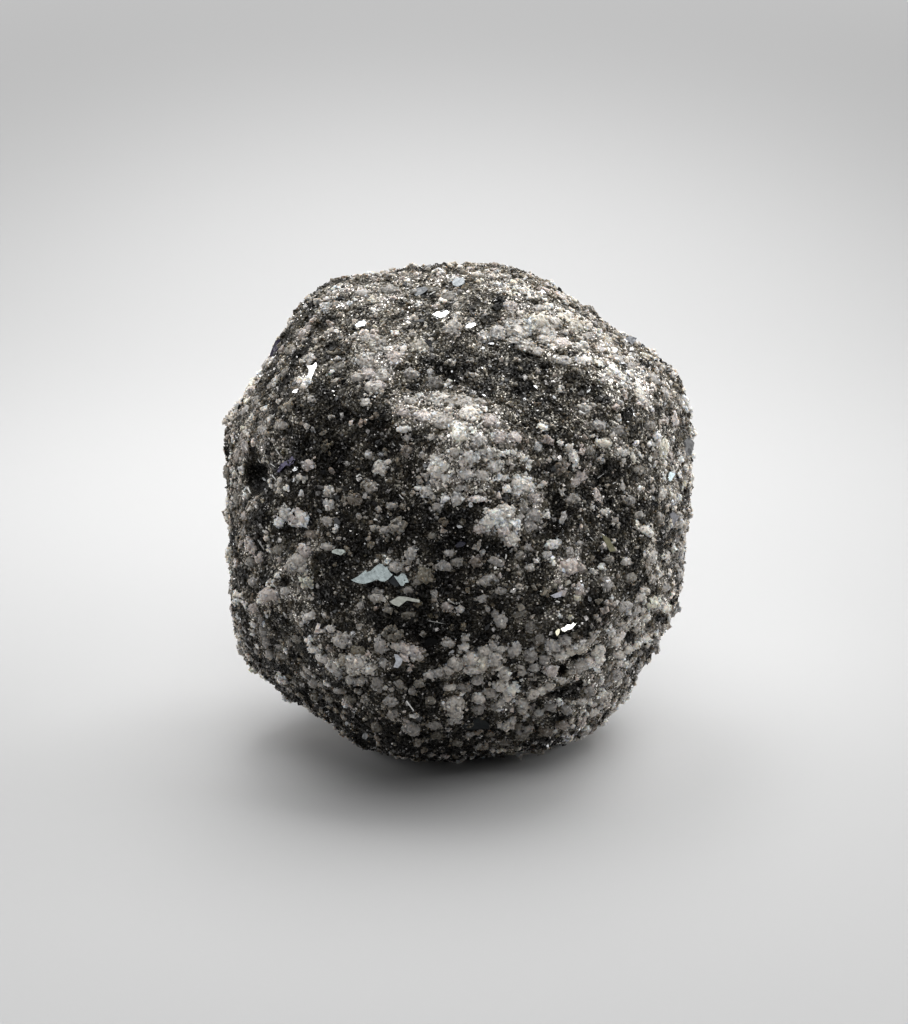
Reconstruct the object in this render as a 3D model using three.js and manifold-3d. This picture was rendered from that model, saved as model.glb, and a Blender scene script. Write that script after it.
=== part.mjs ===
// A hematite specimen: one natural, blocky, many-faced crystalline mass with rounded edges,
// crusted all over with intergrown grains, standing on its own small flat foot.
// Millimetres, +Z up, origin at the middle of the box round it, on the surface it stands on.
import * as THREE from "three";
import { mergeVertices } from "three/addons/utils/BufferGeometryUtils.js";
import Module from "manifold-3d";

// ---- driving dimensions -------------------------------------------------------------------
const MM_PER_UNIT = 0.128; // the outline below is in units of this many millimetres
const VIEW_TILT_DEG = 16; // the outline is seen from this far above the horizontal
const CENTRE_HEIGHT = 30.3; // of the mass's middle above the surface it stands on
const EDGE_SHARPNESS = 15; // larger is a crisper edge between two faces
const SHELL_DETAIL = 15; // subdivisions of each of the 20 starting triangles
const SURFACE_SPAN = 30; // mm, the typical half width that the relief is laid out on

// Distance of the rim from the middle, every 6 degrees, from the right and turning up. The faces
// then round it off by a few units, which brings it to the outline seen from the front.
const OUTLINE = [
  235, 236, 244, 252, 265, 282, 270, 259, 248, 247, 249, 256, 262, 274, 273,
  265, 269, 267, 267, 277, 285, 284, 266, 259, 252, 248, 247, 244, 234, 231,
  228, 225, 229, 233, 240, 251, 260, 257, 256, 251, 247, 253, 249, 247, 243,
  242, 242, 244, 250, 256, 263, 261, 258, 247, 243, 242, 241, 238, 235, 233,
];

// Each face: its direction seen from the front (x right, y away, z up) and distance from the middle.
const FACES = [
  // seen from the front
  [-0.12, -0.42, 0.9, 30.3], // top
  [0.5, -0.36, 0.79, 31.0], // upper right
  [-0.06, -0.8, 0.6, 28.9], // above the nose
  [0.5, -0.86, 0.1, 28.9], // right of the nose
  [0.05, -0.99, 0.12, 29.0], // blunt end of the nose
  [-0.42, -0.9, -0.06, 28.1], // left of the nose
  [-0.88, -0.47, 0.02, 29.9], // left
  [-0.7, -0.42, 0.58, 31.0], // upper left
  [0.06, -0.8, -0.6, 28.9], // lower front
  [-0.58, -0.45, -0.68, 30.8], // lower left
  [0.7, -0.42, -0.58, 30.2], // lower right
  [0.93, -0.36, 0.06, 30.6], // right
  // the back
  [0.08, 0.52, 0.85, 29.2],
  [-0.62, 0.55, 0.56, 30.9],
  [0.68, 0.52, 0.52, 30.6],
  [-0.74, 0.66, -0.08, 29.2],
  [0.06, 0.99, 0.1, 27.4],
  [0.78, 0.61, -0.12, 29.4],
  [-0.44, 0.66, -0.61, 29.6],
  [0.42, 0.7, -0.58, 29.2],
];

// Hollows (plus) and swellings (minus): place in the outline's units from the middle (right, up),
// side (-1 front, 1 back), half width in degrees and depth in millimetres.
const HOLLOWS = [
  [70, 140, -1, 13, 1.3], // under the upper right band
  [-30, 130, -1, 10, 0.7], // between the band and the nose
  [15, 70, -1, 13, -0.9], // the nose
  [35, 0, -1, 10, -0.4], // lower slope of the nose
  [-90, 45, -1, 17, 0.9], // left of the nose
  [10, -95, -1, 17, 1.0], // under the nose
  [-195, 148, -1, 8, 0.9], // notch in the upper left edge
  [-197, 38, -1, 5, 0.9], // small dark pit on the left
  [118, -147, -1, 5, 1.0], // pit among the pale grains, lower right
  [-40, -175, -1, 12, -0.7], // swelling, lower front
  [120, -60, -1, 14, -0.5], // swelling, right front
  [-60, 60, 1, 15, 0.9],
  [90, -20, 1, 14, 0.8],
  [10, -100, 1, 12, -0.8],
  [60, 120, 1, 13, -0.7],
];

// ---- relief: a sum of plane waves with fixed directions, the same on every run -------------
function makeWaves(seed, count, shortest, longest, height) {
  let s = seed >>> 0;
  const rand = () => {
    s = (Math.imul(s, 1664525) + 1013904223) >>> 0;
    return s / 4294967296;
  };
  const waves = [];
  for (let i = 0; i < count; i++) {
    const z = 2 * rand() - 1;
    const a = 2 * Math.PI * rand();
    const w = shortest * Math.pow(longest / shortest, rand());
    const q = Math.sqrt(1 - z * z);
    waves.push([
      q * Math.cos(a), q * Math.sin(a), z,
      (2 * Math.PI) / w,
      2 * Math.PI * rand(),
      (height * w) / longest,
    ]);
  }
  return waves;
}
const WAVES = [
  ...makeWaves(7, 14, 16, 34, 0.26),
  ...makeWaves(19, 22, 6, 13, 0.13),
];

function relief(x, y, z) {
  let h = 0;
  for (const [dx, dy, dz, f, p, a] of WAVES)
    h += a * Math.sin(f * (dx * x + dy * y + dz * z) + p);
  return h;
}

// ---- the mass's surface as a distance from its middle --------------------------------------
const faces = FACES.map(([x, y, z, d]) => {
  const l = Math.hypot(x, y, z);
  return [x / l, y / l, z / l, d];
});

const hollows = HOLLOWS.map(([right, up, side, width, depth]) => {
  const x = right * MM_PER_UNIT, z = up * MM_PER_UNIT;
  const y = side * Math.sqrt(Math.max(0, 29.5 * 29.5 - x * x - z * z));
  const l = Math.hypot(x, y, z);
  return [x / l, y / l, z / l, (width * Math.PI) / 180, depth];
});

// Catmull-Rom through the outline's distances.
function outlineAt(angle) {
  const n = OUTLINE.length;
  const t = ((angle / (2 * Math.PI)) * n + 8 * n) % n;
  const i = Math.floor(t), f = t - i;
  const p = (k) => OUTLINE[(i + k + n) % n];
  const [a, b, c, d] = [p(-1), p(0), p(1), p(2)];
  return (
    MM_PER_UNIT * 0.5 *
    (2 * b + (c - a) * f + (2 * a - 5 * b + 4 * c - d) * f * f +
      (3 * b - a - 3 * c + d) * f * f * f)
  );
}

function distanceAlong(x, y, z) {
  const q = Math.hypot(x, z);
  let sum = Math.pow(q / (outlineAt(Math.atan2(z, x)) * 1.012), EDGE_SHARPNESS);
  for (const [nx, ny, nz, d] of faces) {
    const c = nx * x + ny * y + nz * z;
    if (c > 0) sum += Math.pow(c / d, EDGE_SHARPNESS);
  }
  let r = Math.pow(sum, -1 / EDGE_SHARPNESS);
  for (const [hx, hy, hz, w, depth] of hollows) {
    const a = Math.acos(Math.min(1, Math.max(-1, hx * x + hy * y + hz * z)));
    r -= depth * Math.exp(-((a / w) ** 2));
  }
  // the outline itself already holds the relief at the rim
  const calm = 1 - 0.75 * Math.max(0, (q - 0.9) / 0.1);
  return r + calm * relief(x * SURFACE_SPAN, y * SURFACE_SPAN, z * SURFACE_SPAN);
}

// ---- a closed shell from a subdivided icosahedron ------------------------------------------
const shell = new THREE.IcosahedronGeometry(1, SHELL_DETAIL);
shell.deleteAttribute("normal");
shell.deleteAttribute("uv");
const stone = mergeVertices(shell, 1e-5);
const tilt = (VIEW_TILT_DEG * Math.PI) / 180;
const at = stone.getAttribute("position");
for (let i = 0; i < at.count; i++) {
  const u = new THREE.Vector3().fromBufferAttribute(at, i).normalize();
  u.multiplyScalar(distanceAlong(u.x, u.y, u.z));
  // from the frame of the view to the upright one
  at.setXYZ(
    i,
    u.x,
    u.y * Math.cos(tilt) + u.z * Math.sin(tilt),
    -u.y * Math.sin(tilt) + u.z * Math.cos(tilt) + CENTRE_HEIGHT,
  );
}

// ---- the foot: everything under the surface it stands on is cut off flat --------------------
const wasm = await Module();
wasm.setup();
function toSolid(geometry) {
  return new wasm.Manifold(
    new wasm.Mesh({
      numProp: 3,
      vertProperties: new Float32Array(geometry.getAttribute("position").array),
      triVerts: new Uint32Array(geometry.index.array),
    }),
  );
}
const above = new THREE.BoxGeometry(200, 200, 200);
above.translate(0, 0, 100);
above.deleteAttribute("normal");
above.deleteAttribute("uv");
const cut = toSolid(stone).intersect(toSolid(mergeVertices(above, 1e-5))).getMesh();

const body = new THREE.BufferGeometry();
body.setAttribute("position", new THREE.BufferAttribute(new Float32Array(cut.vertProperties), 3));
body.setIndex(new THREE.BufferAttribute(new Uint32Array(cut.triVerts), 1));
body.computeBoundingBox();
const box = body.boundingBox;
body.translate(-(box.min.x + box.max.x) / 2, -(box.min.y + box.max.y) / 2, -box.min.z);
body.computeVertexNormals();

const specimen = new THREE.Mesh(
  body,
  new THREE.MeshStandardMaterial({ color: 0x5a5753, roughness: 0.55, metalness: 0.25 }),
);
specimen.name = "hematite_mass";

const part = new THREE.Group();
part.add(specimen);

export default part;
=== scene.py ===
import math

import bpy
import numpy as np
from mathutils import Matrix, Vector


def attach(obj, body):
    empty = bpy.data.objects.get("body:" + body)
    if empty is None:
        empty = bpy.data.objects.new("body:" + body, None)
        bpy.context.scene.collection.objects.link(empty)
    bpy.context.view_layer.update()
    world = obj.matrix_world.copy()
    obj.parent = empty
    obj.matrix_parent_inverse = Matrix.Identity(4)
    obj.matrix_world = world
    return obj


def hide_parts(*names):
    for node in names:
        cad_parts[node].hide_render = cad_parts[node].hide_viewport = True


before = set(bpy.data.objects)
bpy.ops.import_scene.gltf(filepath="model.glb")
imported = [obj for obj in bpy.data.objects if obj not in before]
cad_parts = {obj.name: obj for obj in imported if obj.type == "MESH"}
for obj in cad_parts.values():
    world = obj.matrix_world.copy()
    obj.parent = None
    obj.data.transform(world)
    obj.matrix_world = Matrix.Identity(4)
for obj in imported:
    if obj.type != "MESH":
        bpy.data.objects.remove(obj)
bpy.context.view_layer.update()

SEED = 9046

# ------------------------------------------------------------------ the mass's own shape
UNIT = 0.128
TILT = math.radians(16.0)
CENTRE_HEIGHT = 30.3
SHIFT_X, SHIFT_Y = 0.20474, 0.98937
SHARP = 15.0
OUTLINE = np.array([
    235, 236, 244, 252, 265, 282, 270, 259, 248, 247, 249, 256, 262, 274, 273,
    265, 269, 267, 267, 277, 285, 284, 266, 259, 252, 248, 247, 244, 234, 231,
    228, 225, 229, 233, 240, 251, 260, 257, 256, 251, 247, 253, 249, 247, 243,
    242, 242, 244, 250, 256, 263, 261, 258, 247, 243, 242, 241, 238, 235, 233,
], float)
FACES = [
    (-0.12, -0.42, 0.9, 30.3), (0.5, -0.36, 0.79, 31.0), (-0.06, -0.8, 0.6, 28.9),
    (0.5, -0.86, 0.1, 28.9), (0.05, -0.99, 0.12, 29.0), (-0.42, -0.9, -0.06, 28.1),
    (-0.88, -0.47, 0.02, 29.9), (-0.7, -0.42, 0.58, 31.0), (0.06, -0.8, -0.6, 28.9),
    (-0.58, -0.45, -0.68, 30.8), (0.7, -0.42, -0.58, 30.2), (0.93, -0.36, 0.06, 30.6),
    (0.08, 0.52, 0.85, 29.2), (-0.62, 0.55, 0.56, 30.9), (0.68, 0.52, 0.52, 30.6),
    (-0.74, 0.66, -0.08, 29.2), (0.06, 0.99, 0.1, 27.4), (0.78, 0.61, -0.12, 29.4),
    (-0.44, 0.66, -0.61, 29.6), (0.42, 0.7, -0.58, 29.2),
]
HOLLOWS = [
    (70, 140, -1, 13, 1.3), (-30, 130, -1, 10, 0.7), (15, 70, -1, 13, -0.9),
    (35, 0, -1, 10, -0.4), (-90, 45, -1, 17, 0.9), (10, -95, -1, 17, 1.0),
    (-195, 148, -1, 8, 0.9), (-197, 38, -1, 5, 0.9), (118, -147, -1, 5, 1.0),
    (-40, -175, -1, 12, -0.7), (120, -60, -1, 14, -0.5), (-60, 60, 1, 15, 0.9),
    (90, -20, 1, 14, 0.8), (10, -100, 1, 12, -0.8), (60, 120, 1, 13, -0.7),
]


def make_waves(seed, count, shortest, longest, height):
    s, out = seed, []

    def rand():
        nonlocal s
        s = (s * 1664525 + 1013904223) & 0xFFFFFFFF
        return s / 4294967296

    for _ in range(count):
        z = 2 * rand() - 1
        a = 2 * math.pi * rand()
        w = shortest * (longest / shortest) ** rand()
        q = math.sqrt(1 - z * z)
        out.append((q * math.cos(a), q * math.sin(a), z, 2 * math.pi / w,
                    2 * math.pi * rand(), height * w / longest))
    return out


WAVES = make_waves(7, 14, 16, 34, 0.26) + make_waves(19, 22, 6, 13, 0.13)


def outline_at(angle):
    n = len(OUTLINE)
    t = (angle / (2 * math.pi) * n + 8 * n) % n
    i = np.floor(t).astype(int)
    f = t - i
    a, b, c, d = OUTLINE[(i - 1) % n], OUTLINE[i % n], OUTLINE[(i + 1) % n], OUTLINE[(i + 2) % n]
    return UNIT * 0.5 * (2 * b + (c - a) * f + (2 * a - 5 * b + 4 * c - d) * f * f
                         + (3 * b - a - 3 * c + d) * f ** 3)


def distance_along(u):
    """Distance of the CAD mass's surface from its middle, along unit directions of the view frame."""
    q = np.hypot(u[:, 0], u[:, 2])
    total = (q / (outline_at(np.arctan2(u[:, 2], u[:, 0])) * 1.012)) ** SHARP
    for x, y, z, d in FACES:
        n = np.array((x, y, z)) / math.sqrt(x * x + y * y + z * z)
        total += (np.maximum(u @ n, 0) / d) ** SHARP
    r = total ** (-1 / SHARP)
    for right, up, side, width, depth in HOLLOWS:
        x, z = right * UNIT, up * UNIT
        y = side * math.sqrt(max(0.0, 29.5 ** 2 - x * x - z * z))
        h = np.array((x, y, z)) / math.sqrt(x * x + y * y + z * z)
        r -= depth * np.exp(-(np.arccos(np.clip(u @ h, -1, 1)) / math.radians(width)) ** 2)
    relief = np.zeros(len(u))
    for dx, dy, dz, f, p, a in WAVES:
        relief += a * np.sin(f * 30 * (u @ np.array((dx, dy, dz))) + p)
    return r + (1 - 0.75 * np.maximum(0, (q - 0.9) / 0.1)) * relief


def to_world(p):
    c, s = math.cos(TILT), math.sin(TILT)
    return np.stack([p[:, 0] - SHIFT_X, p[:, 1] * c + p[:, 2] * s - SHIFT_Y,
                     -p[:, 1] * s + p[:, 2] * c + CENTRE_HEIGHT], 1)


def to_view(w):
    c, s = math.cos(TILT), math.sin(TILT)
    x, y, z = w[:, 0] + SHIFT_X, w[:, 1] + SHIFT_Y, w[:, 2] - CENTRE_HEIGHT
    return np.stack([x, y * c - z * s, y * s + z * c], 1)


# ------------------------------------------------------------------ noise, the same every run
def lattice(ix, iy, iz, seed):
    h = (ix.astype(np.int64) * 374761393 + iy.astype(np.int64) * 668265263
         + iz.astype(np.int64) * 1440662683 + seed * 974634777) & 0xFFFFFFFF
    h = ((h ^ (h >> 13)) * 1274126177) & 0xFFFFFFFF
    h = ((h ^ (h >> 15)) * 2246822519) & 0xFFFFFFFF
    return ((h ^ (h >> 16)) & 0xFFFFFF) / float(0xFFFFFF)


def noise(p, size, seed):
    """Smooth value noise, -1 to 1, with features about size mm across."""
    q = p / size
    i = np.floor(q).astype(np.int64)
    f = q - i
    f = f * f * (3 - 2 * f)
    out = np.zeros(len(p))
    for dx in (0, 1):
        for dy in (0, 1):
            for dz in (0, 1):
                w = (np.where(dx, f[:, 0], 1 - f[:, 0]) * np.where(dy, f[:, 1], 1 - f[:, 1])
                     * np.where(dz, f[:, 2], 1 - f[:, 2]))
                out += w * lattice(i[:, 0] + dx, i[:, 1] + dy, i[:, 2] + dz, seed)
    return 2 * out - 1


def cells(p, size, seed):
    """Distance to the nearest scattered point, in units of size."""
    q = p / size
    i = np.floor(q).astype(np.int64)
    best = np.full(len(p), 9.0)
    for dx in (-1, 0, 1):
        for dy in (-1, 0, 1):
            for dz in (-1, 0, 1):
                a, b, c = i[:, 0] + dx, i[:, 1] + dy, i[:, 2] + dz
                d = ((a + lattice(a, b, c, seed) - q[:, 0]) ** 2
                     + (b + lattice(a, b, c, seed + 1) - q[:, 1]) ** 2
                     + (c + lattice(a, b, c, seed + 2) - q[:, 2]) ** 2)
                best = np.minimum(best, d)
    return np.sqrt(best)


# ------------------------------------------------------------------ camera, in the view frame
CAMERA_FAR = 420.0
LENS = 36.0 * CAMERA_FAR / (1024 * UNIT)
AIM_X = -2 * UNIT


def pixels(v):
    """Where a point of the view frame falls in the 908 x 1024 picture."""
    k = 1 + v[:, 1] / CAMERA_FAR
    return 454 + (v[:, 0] - AIM_X) / k / UNIT, 512 - v[:, 2] / k / UNIT


def surface(u):
    """World points of the visible, granular surface along directions u of the view frame."""
    p = u * distance_along(u)[:, None]
    r = (distance_along(u) + 0.22 * noise(p, 3.1, 11) + 0.16 * noise(p, 1.4, 12)
         + 0.20 * (0.55 - cells(p, 1.05, 21)) - 0.18)
    px, py = pixels(p)
    for cx, cy, rx, ry, turn in PITS:
        r -= 1.1 * ellipse(px, py, cx, cy, rx, ry, turn) * (p[:, 1] < 0)
    # nothing reaches under the surface it stands on
    down = -(-u[:, 1] * math.sin(TILT) + u[:, 2] * math.cos(TILT))
    lowest = np.where(down > 1e-3, CENTRE_HEIGHT / np.maximum(down, 1e-3), 1e9)
    return to_world(u * np.minimum(r, lowest)[:, None]), r > lowest


def unit(v):
    return v / np.maximum(np.linalg.norm(v, axis=1, keepdims=True), 1e-12)


def tangents(n):
    a = np.where(np.abs(n[:, 2:3]) < 0.9, np.array([[0.0, 0.0, 1.0]]), np.array([[1.0, 0.0, 0.0]]))
    t = unit(np.cross(a, n))
    return t, np.cross(n, t)


def smooth_normal(u):
    """Outward direction of the CAD shape, in the world frame."""
    t, b = tangents(u)
    e = 0.02
    p0 = u * distance_along(u)[:, None]
    ut, ub = unit(u + e * t), unit(u + e * b)
    p1, p2 = ut * distance_along(ut)[:, None], ub * distance_along(ub)[:, None]
    n = unit(np.cross(p1 - p0, p2 - p0))
    n *= np.sign((n * u).sum(1))[:, None]
    c, s = math.cos(TILT), math.sin(TILT)
    return np.stack([n[:, 0], n[:, 1] * c + n[:, 2] * s, -n[:, 1] * s + n[:, 2] * c], 1)


def direction_of(px, py):
    """Directions of the view frame whose surface point falls on the given pixels."""
    px, py = np.atleast_1d(np.asarray(px, float)), np.atleast_1d(np.asarray(py, float))

    def gap(y):
        k = 1 + y / CAMERA_FAR
        p = np.stack([(px - 454) * UNIT * k + AIM_X, y, (512 - py) * UNIT * k], 1)
        l = np.linalg.norm(p, axis=1)
        return l - distance_along(p / l[:, None]), p / l[:, None]

    lo = np.full(len(px), -45.0)
    hi = lo.copy()
    done = np.zeros(len(px), bool)
    for y in np.arange(-45.0, 12.0, 0.5):
        g, _ = gap(np.full(len(px), y))
        new = (~done) & (g <= 0)
        hi[new] = y
        lo[new] = y - 0.5
        done |= new
    hi[~done], lo[~done] = 0.0, -0.5
    for _ in range(20):
        mid = (lo + hi) / 2
        g, _ = gap(mid)
        lo = np.where(g > 0, mid, lo)
        hi = np.where(g > 0, hi, mid)
    return gap(hi)[1]


# ------------------------------------------------------------------ where it is pale and dark
# Patches on the side that faces the camera, each an ellipse in picture coordinates:
# middle x, y, half lengths, turn in degrees (clockwise), strength.
PATCHES = [
    # pale: pale stone, with painted light where faces turn up, as on the nose and the top band, and along the left and
    # right rims
    (592, 343, 72, 17, 30, 0.95), (540, 318, 34, 20, 5, 0.9), (648, 390, 30, 13, 50, 0.7),
    (575, 330, 40, 14, 15, 0.5), (378, 357, 27, 20, 10, 0.75), (425, 345, 34, 10, -10, 0.6),
    (455, 320, 16, 12, 0, 0.5), (448, 405, 60, 17, 8, 0.85), (465, 428, 26, 18, 0, 0.7),
    (440, 468, 14, 18, 0, 0.65), (500, 455, 36, 22, 25, 0.45), (480, 490, 44, 28, 20, 0.25),
    (496, 522, 22, 14, 20, 0.9), (524, 484, 17, 12, 0, 0.8), (522, 457, 16, 7, 15, 0.7),
    (567, 455, 10, 16, -20, 0.5), (572, 565, 13, 15, 0, 0.6), (577, 588, 7, 10, 0, 0.4),
    (644, 394, 9, 13, 40, 0.6), (663, 448, 9, 16, 15, 0.7), (672, 404, 11, 14, 20, 0.4),
    (640, 340, 46, 18, 40, 0.3), (622, 440, 14, 9, 0, 0.35), (600, 462, 11, 12, 0, 0.15),
    (648, 556, 14, 10, 20, 0.5), (655, 600, 20, 28, 25, 0.6), (630, 628, 46, 19, -42, 0.6),
    (585, 648, 38, 13, -30, 0.7), (660, 560, 16, 22, 0, 0.4), (560, 690, 40, 14, -25, 0.4),
    (500, 676, 36, 16, 10, 0.65), (495, 700, 30, 12, 0, 0.4), (520, 655, 20, 10, 0, 0.3),
    (610, 690, 22, 40, 40, 0.35), (545, 545, 12, 12, 0, 0.3), (480, 575, 8, 12, 30, 0.2),
    (360, 664, 26, 10, 0, 0.65), (402, 602, 12, 7, 0, 0.6), (375, 596, 18, 8, 0, 0.35),
    (407, 652, 12, 14, 20, 0.45), (330, 650, 20, 12, 30, 0.3), (286, 556, 20, 24, 30, 0.4),
    (292, 588, 16, 18, -30, 0.35), (255, 600, 14, 26, 0, 0.3), (246, 545, 12, 30, 0, 0.2),
    (240, 460, 12, 26, 0, 0.3), (262, 510, 12, 14, 0, 0.25), (262, 410, 16, 22, -30, 0.3),
    (325, 295, 34, 16, -25, 0.25), (400, 290, 60, 14, 0, 0.2), (490, 290, 60, 16, 5, 0.4),
    (350, 325, 14, 10, 0, 0.3), (296, 395, 24, 30, 0, 0.12), (690, 480, 14, 60, 0, 0.3),
    (450, 690, 20, 12, 0, 0.3), (400, 700, 18, 8, 20, 0.2), (560, 620, 14, 8, -20, 0.3),
    (400, 298, 50, 22, 0, 0.45), (355, 290, 30, 16, -20, 0.35), (450, 290, 60, 22, 0, 0.3),
    (600, 368, 40, 7, 28, 0.8), (640, 392, 16, 7, 50, 0.6), (450, 438, 34, 10, 0, 0.4), (482, 458, 40, 14, 10, 0.35),
    (236, 440, 14, 30, 0, 0.5), (230, 540, 10, 60, 0, 0.25), (262, 604, 14, 14, 0, 0.4), (684, 450, 16, 70, 0, 0.35),
    (680, 580, 12, 40, 10, 0.3), (660, 612, 22, 16, -40, 0.3), (635, 470, 40, 50, 0, 0.12),
    (545, 700, 90, 40, -20, 0.15), (340, 640, 60, 50, 30, 0.12),
    (478, 458, 34, 18, 20, 0.5), (425, 425, 26, 8, 10, 0.4), (590, 370, 30, 8, 20, 0.3), (660, 465, 18, 26, 0, 0.3),
    (310, 492, 22, 14, 0, 0.3), (265, 585, 16, 24, 0, 0.35), (655, 625, 22, 18, -40, 0.4), (600, 700, 34, 26, -30, 0.3),
    (540, 610, 14, 10, 0, 0.3), (390, 305, 20, 10, 0, 0.3), (640, 430, 30, 26, 20, 0.25),
    (478, 463, 18, 12, 0, 0.75), (595, 430, 14, 10, 0, 0.5), (283, 508, 14, 12, 0, 0.5), (648, 646, 14, 8, 0, 0.5),
    (654, 620, 16, 12, 0, 0.4), (563, 652, 12, 8, 0, 0.5), (415, 425, 16, 8, 0, 0.35), (244, 438, 10, 12, 0, 0.4),
    (614, 641, 12, 8, 0, 0.4), (574, 300, 12, 8, 0, 0.3), (505, 392, 14, 8, 0, 0.4), (260, 615, 12, 18, 0, 0.45),
    (544, 616, 12, 10, 0, 0.5), (420, 451, 14, 10, 0, 0.35), (540, 472, 14, 14, 0, 0.35), (484, 302, 15, 8, 0, 0.35),
    (587, 470, 12, 10, 0, 0.4), (276, 444, 12, 10, 0, 0.4), (665, 465, 12, 14, 0, 0.25), (576, 400, 14, 10, 0, 0.4),
    (245, 643, 10, 10, 0, 0.4), (502, 530, 10, 8, 0, 0.25), (549, 682, 12, 10, 0, 0.4), (523, 454, 12, 8, 0, 0.3),
    (587, 726, 14, 8, 0, 0.4), (350, 420, 14, 12, 0, 0.3), (306, 662, 14, 8, 0, 0.35), (299, 577, 14, 10, 0, 0.2),
    (582, 739, 16, 8, 0, 0.4), (684, 406, 12, 14, 0, 0.3), (653, 430, 12, 12, 0, 0.25), (683, 552, 12, 14, 0, 0.3),
    (408, 732, 16, 8, 0, 0.3), (407, 683, 14, 8, 0, 0.2),
    (249, 456, 10, 12, 0, 0.35), (533, 374, 16, 8, 0, 0.4), (574, 407, 14, 8, 0, 0.35), (343, 428, 14, 10, 0, 0.4),
    (387, 421, 12, 10, 0, 0.35), (262, 635, 12, 12, 0, 0.35), (352, 408, 12, 10, 0, 0.3), (400, 378, 12, 8, 0, 0.3),
    (534, 378, 16, 8, 0, 0.5), (500, 380, 14, 8, 0, 0.4), (545, 614, 12, 8, 0, 0.5), (348, 411, 12, 10, 0, 0.4),
    (547, 459, 12, 10, 0, 0.35), (580, 635, 12, 8, 0, 0.35), (419, 449, 12, 10, 0, 0.3), (585, 412, 12, 8, 0, 0.3),
    (621, 401, 12, 8, 0, 0.25), (294, 419, 10, 10, 0, 0.25), (265, 543, 10, 10, 0, 0.3), (551, 722, 12, 8, 0, 0.3),
    (554, 731, 14, 8, 0, 0.4), (288, 416, 12, 10, 0, 0.3), (562, 654, 12, 8, 0, 0.3), (534, 531, 12, 8, 0, 0.3),
    (378, 402, 12, 10, 0, 0.3), (401, 380, 12, 8, 0, 0.3), (344, 431, 12, 10, 0, 0.3), (507, 401, 14, 8, 0, 0.2),
    (505, 351, 12, 6, 0, 0.2), (310, 505, 12, 8, 0, 0.3), (554, 615, 12, 8, 0, 0.35),
    (344, 427, 12, 12, 0, 0.5), (512, 406, 14, 8, 0, 0.5), (589, 472, 12, 10, 0, 0.5), (556, 614, 14, 10, 0, 0.5),
    (419, 428, 14, 8, 0, 0.4), (487, 490, 12, 8, 0, 0.4), (381, 435, 10, 10, 0, 0.5), (380, 402, 12, 8, 0, 0.4),
    (498, 534, 12, 8, 0, 0.4), (584, 375, 12, 8, 0, 0.3), (531, 372, 12, 6, 0, 0.35), (544, 396, 12, 8, 0, 0.4),
    (687, 512, 8, 12, 0, 0.4), (280, 538, 10, 10, 0, 0.4), (539, 581, 10, 10, 0, 0.4), (550, 719, 12, 8, 0, 0.35),
    (656, 621, 12, 10, 0, 0.3), (585, 619, 12, 8, 0, 0.35),
    (496, 487, 12, 8, 0, 0.4), (347, 409, 12, 8, 0, 0.4), (478, 462, 12, 8, 0, 0.25), (589, 471, 12, 8, 0, 0.35),
    (497, 533, 12, 8, 0, 0.3), (384, 414, 12, 8, 0, 0.4), (546, 458, 12, 8, 0, 0.4), (528, 369, 12, 8, 0, 0.3),
    (657, 620, 12, 8, 0, 0.25), (548, 628, 12, 8, 0, 0.4), (400, 380, 12, 8, 0, 0.3), (439, 375, 12, 6, 0, 0.3),
    (413, 422, 12, 8, 0, 0.25), (562, 611, 12, 8, 0, 0.3), (506, 394, 12, 6, 0, 0.3), (312, 500, 12, 8, 0, 0.3),
    (540, 579, 10, 8, 0, 0.3),
    (541, 280, 12, 6, 0, 0.35), (343, 429, 10, 10, 0, 0.35), (346, 408, 10, 8, 0, 0.35), (533, 609, 12, 8, 0, 0.35),
    (602, 474, 10, 8, 0, 0.35), (581, 606, 10, 8, 0, 0.3), (674, 532, 10, 10, 0, 0.3),
    # dark: dark stone, with painted shade where faces turn down and in the hollows, and along the bottom edge where the
    # mass meets the floor
    (615, 521, 10, 10, 0, -0.6), (675, 593, 10, 10, 0, -0.4), (641, 545, 10, 10, 0, -0.4), (231, 557, 6, 10, 0, -0.4),
    (459, 292, 12, 6, 0, -0.3), (247, 662, 8, 8, 0, -0.3), (245, 390, 10, 8, 0, -0.3),
    (397, 527, 12, 10, 0, -0.7), (316, 305, 12, 8, 0, -0.35), (227, 449, 6, 8, 0, -0.4), (229, 472, 6, 10, 0, -0.4),
    (689, 449, 8, 10, 0, -0.35), (470, 408, 12, 6, 0, -0.3), (602, 723, 12, 8, 0, -0.3), (438, 343, 12, 8, 0, -0.3),
    (622, 703, 12, 10, 0, -0.5), (474, 361, 12, 8, 0, -0.6), (470, 408, 12, 8, 0, -0.4), (675, 593, 10, 10, 0, -0.4),
    (636, 365, 14, 10, 0, -0.35), (232, 541, 6, 10, 0, -0.4), (349, 332, 12, 10, 0, -0.4), (276, 567, 12, 10, 0, -0.4),
    (267, 486, 8, 8, 0, -0.4), (229, 479, 6, 10, 0, -0.4), (690, 452, 8, 10, 0, -0.35), (546, 309, 12, 6, 0, -0.3),
    (331, 281, 12, 8, 0, -0.3), (227, 449, 6, 8, 0, -0.3), (287, 402, 10, 10, 0, -0.3), (620, 425, 10, 8, 0, -0.3),
    (572, 742, 12, 8, 0, -0.3), (437, 409, 10, 8, 0, -0.3), (371, 551, 12, 8, 0, -0.5), (429, 756, 20, 6, 0, -0.6),
    (299, 303, 10, 8, 0, -0.3), (391, 330, 12, 8, 0, -0.3), (510, 465, 8, 6, 0, -0.3),
    (375, 272, 16, 6, 0, -0.5), (640, 340, 20, 10, 30, -0.15), (669, 422, 10, 14, 0, -0.2),
    (299, 366, 12, 12, 0, -0.4), (436, 346, 12, 10, 0, -0.4), (317, 315, 14, 10, 0, -0.4), (265, 584, 12, 12, 0, -0.4),
    (476, 547, 14, 10, 0, -0.4), (230, 510, 6, 30, 0, -0.3), (328, 351, 10, 8, 0, -0.3), (546, 301, 12, 6, 0, -0.2),
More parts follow.
